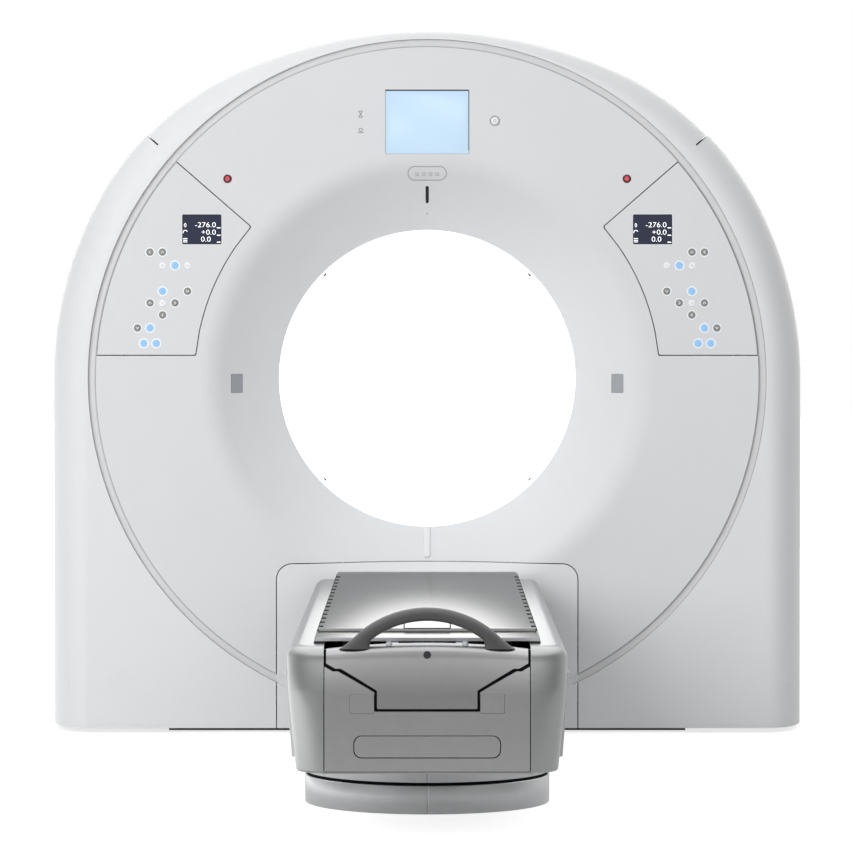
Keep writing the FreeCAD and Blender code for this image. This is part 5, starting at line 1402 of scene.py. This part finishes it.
def buildSet():
    material, tree, shader = newMaterial("studioFloor", Base_Color=linear("#cacaca"), Roughness=0.9)
    path = addNode(tree, "LightPath")
    seen = addNode(tree, "Math", {1: 0.75}, {0: path.outputs["Is Camera Ray"]}, operation="MULTIPLY")
    # mirror-like paint sees the floor's white too: most of it close to the couch, and more of it on the left
    split = addNode(tree, "SeparateXYZ", None, {"Vector": addNode(tree, "TexCoord").outputs["Object"]})
    near = addNode(tree, "MapRange", {"From Min": -4.2, "From Max": -3.4, "To Min": 0.0, "To Max": 1.0},
                   {"Value": split.outputs["Y"]})
    aside = addNode(tree, "MapRange", {"From Min": -0.4, "From Max": -1.1, "To Min": 0.0,
                                       "To Max": studio["sideGlow"]}, {"Value": split.outputs["X"]})
    both = addNode(tree, "Math", {1: studio["nearGlow"]}, {0: aside.outputs["Result"]}, operation="ADD")
    glow = addNode(tree, "Math", None, {0: near.outputs["Result"], 1: both.outputs[0]}, operation="MULTIPLY")
    mirrored = addNode(tree, "Math", None, {0: glow.outputs[0], 1: path.outputs["Is Glossy Ray"]},
                       operation="MULTIPLY")
    total = addNode(tree, "Math", None, {0: seen.outputs[0], 1: mirrored.outputs[0]}, operation="ADD")
    tree.links.new(total.outputs[0], shader.inputs["Emission Strength"])
    shader.inputs["Emission Color"].default_value = (1, 1, 1, 1)
    size = 40
    points = np.array([[-size, -size, 0], [size, -size, 0], [size, size, 0], [-size, size, 0]], float)
    mesh = bpy.data.meshes.new("studioFloor")
    mesh.from_pydata(points.tolist(), [], [[0, 1, 2, 3]])
    mesh.materials.append(material)
    floor = bpy.data.objects.new("studioFloor", mesh)
    bpy.context.scene.collection.objects.link(floor)

    world = bpy.data.worlds.new("studio")
    bpy.context.scene.world = world
    world.use_nodes = True
    tree = world.node_tree
    background = tree.nodes["Background"]
    background.inputs["Color"].default_value = (1, 1, 1, 1)
    path = addNode(tree, "LightPath")
    direction = addNode(tree, "TexCoord").outputs["Generated"]
    split = addNode(tree, "SeparateXYZ", None, {"Vector": direction})
    # brighter overhead and towards the left, and a bright wall behind the tunnel that the table top mirrors
    overhead = addNode(tree, "MapRange", {"From Min": 0.12, "From Max": 0.9, "To Min": studio["horizon"],
                                          "To Max": studio["overhead"]}, {"Value": split.outputs["Z"]})
    side = addNode(tree, "Math", {1: -studio["leftward"]}, {0: split.outputs["X"]}, operation="MULTIPLY")
    front = addNode(tree, "MapRange", {"From Min": 0.0, "From Max": -1.0, "To Min": 0.0, "To Max": studio["frontal"]},
                    {"Value": split.outputs["Y"]})
    wall = addNode(tree, "MapRange", {"From Min": 0.90, "From Max": 0.99, "To Min": 0.0, "To Max": studio["wall"]},
                   {"Value": split.outputs["Y"]})
    level = addNode(tree, "Math", None, {0: overhead.outputs["Result"], 1: side.outputs[0]}, operation="ADD")
    level = addNode(tree, "Math", None, {0: level.outputs[0], 1: front.outputs["Result"]}, operation="ADD")
    sky = addNode(tree, "MapRange", {"From Min": 0.35, "From Max": 0.75, "To Min": 0.0, "To Max": studio["softBox"]},
                  {"Value": split.outputs["Z"]})
    backdrop = addNode(tree, "MapRange", {"From Min": -0.1, "From Max": 0.6, "To Min": 0.0,
                                          "To Max": studio["backdrop"]}, {"Value": split.outputs["Y"]})
    mirrored = addNode(tree, "Math", None, {0: sky.outputs["Result"], 1: wall.outputs["Result"]}, operation="ADD")
    mirrored = addNode(tree, "Math", None, {0: mirrored.outputs[0], 1: backdrop.outputs["Result"]}, operation="ADD")
    mirrored = addNode(tree, "Math", None, {0: mirrored.outputs[0], 1: path.outputs["Is Glossy Ray"]},
                       operation="MULTIPLY")
    level = addNode(tree, "Math", None, {0: level.outputs[0], 1: mirrored.outputs[0]}, operation="ADD")
    strength = addNode(tree, "Mix", {3: 1.0}, {0: path.outputs["Is Camera Ray"], 2: level.outputs[0]})
    tree.links.new(strength.outputs[0], background.inputs["Strength"])

    lamps = {
        # name: place, aim, size, watts
        "key": ((-4.6, -8.0, 3.2), (0, -0.6, 1.0), 5.2, 400),
        "rear": ((4.5, 8.5, 3.5), (0, 0, 1.0), 4.0, 300),
        "fill": ((3.0, -9.0, 2.4), (0, -0.6, 1.0), 3.6, 60),
    }
    for name, (place, aim, extent, watts) in lamps.items():
        light = bpy.data.lights.new(name, "AREA")
        light.shape = "DISK"
        light.size = extent
        light.energy = watts
        light.specular_factor = 0.0
        lamp = bpy.data.objects.new(name, light)
        lamp.visible_glossy = False
        lamp.location = place
        lamp.rotation_euler = (Vector(aim) - Vector(place)).to_track_quat("-Z", "Y").to_euler()
        bpy.context.scene.collection.objects.link(lamp)

    cameraShape = {"place": (0.0, -12.938, 1.239), "tilt": 1.455, "lens": 176.4, "sensor": 36.0,
                   "shift": -0.0014}
    data = bpy.data.cameras.new("photographer")
    data.lens = cameraShape["lens"]
    data.sensor_width = cameraShape["sensor"]
    data.shift_x = cameraShape["shift"]
    camera = bpy.data.objects.new("photographer", data)
    camera.location = cameraShape["place"]
    camera.rotation_euler = (np.radians(90 - cameraShape["tilt"]), 0, 0)
    bpy.context.scene.collection.objects.link(camera)
    bpy.context.scene.camera = camera
    bpy.context.scene.view_settings.view_transform = "Standard"


buildSet()
print("set ready")
buildOuterCovers()
buildFlankCaps()
print("outer covers ready")
buildDiscs()
buildGroove()
buildLowerPanels()
buildTunnel()
print("discs and tunnel ready")
for side, label in ((-1, "left"), (1, "right")):
    buildControlPanel(side, label)
buildMainDisplay()
buildButtons()
print("controls ready")
buildCouchEnd()
buildCouchSides()
buildHandle()
buildTable()
buildPedestal()
dressInnerNodes()
print("couch ready")
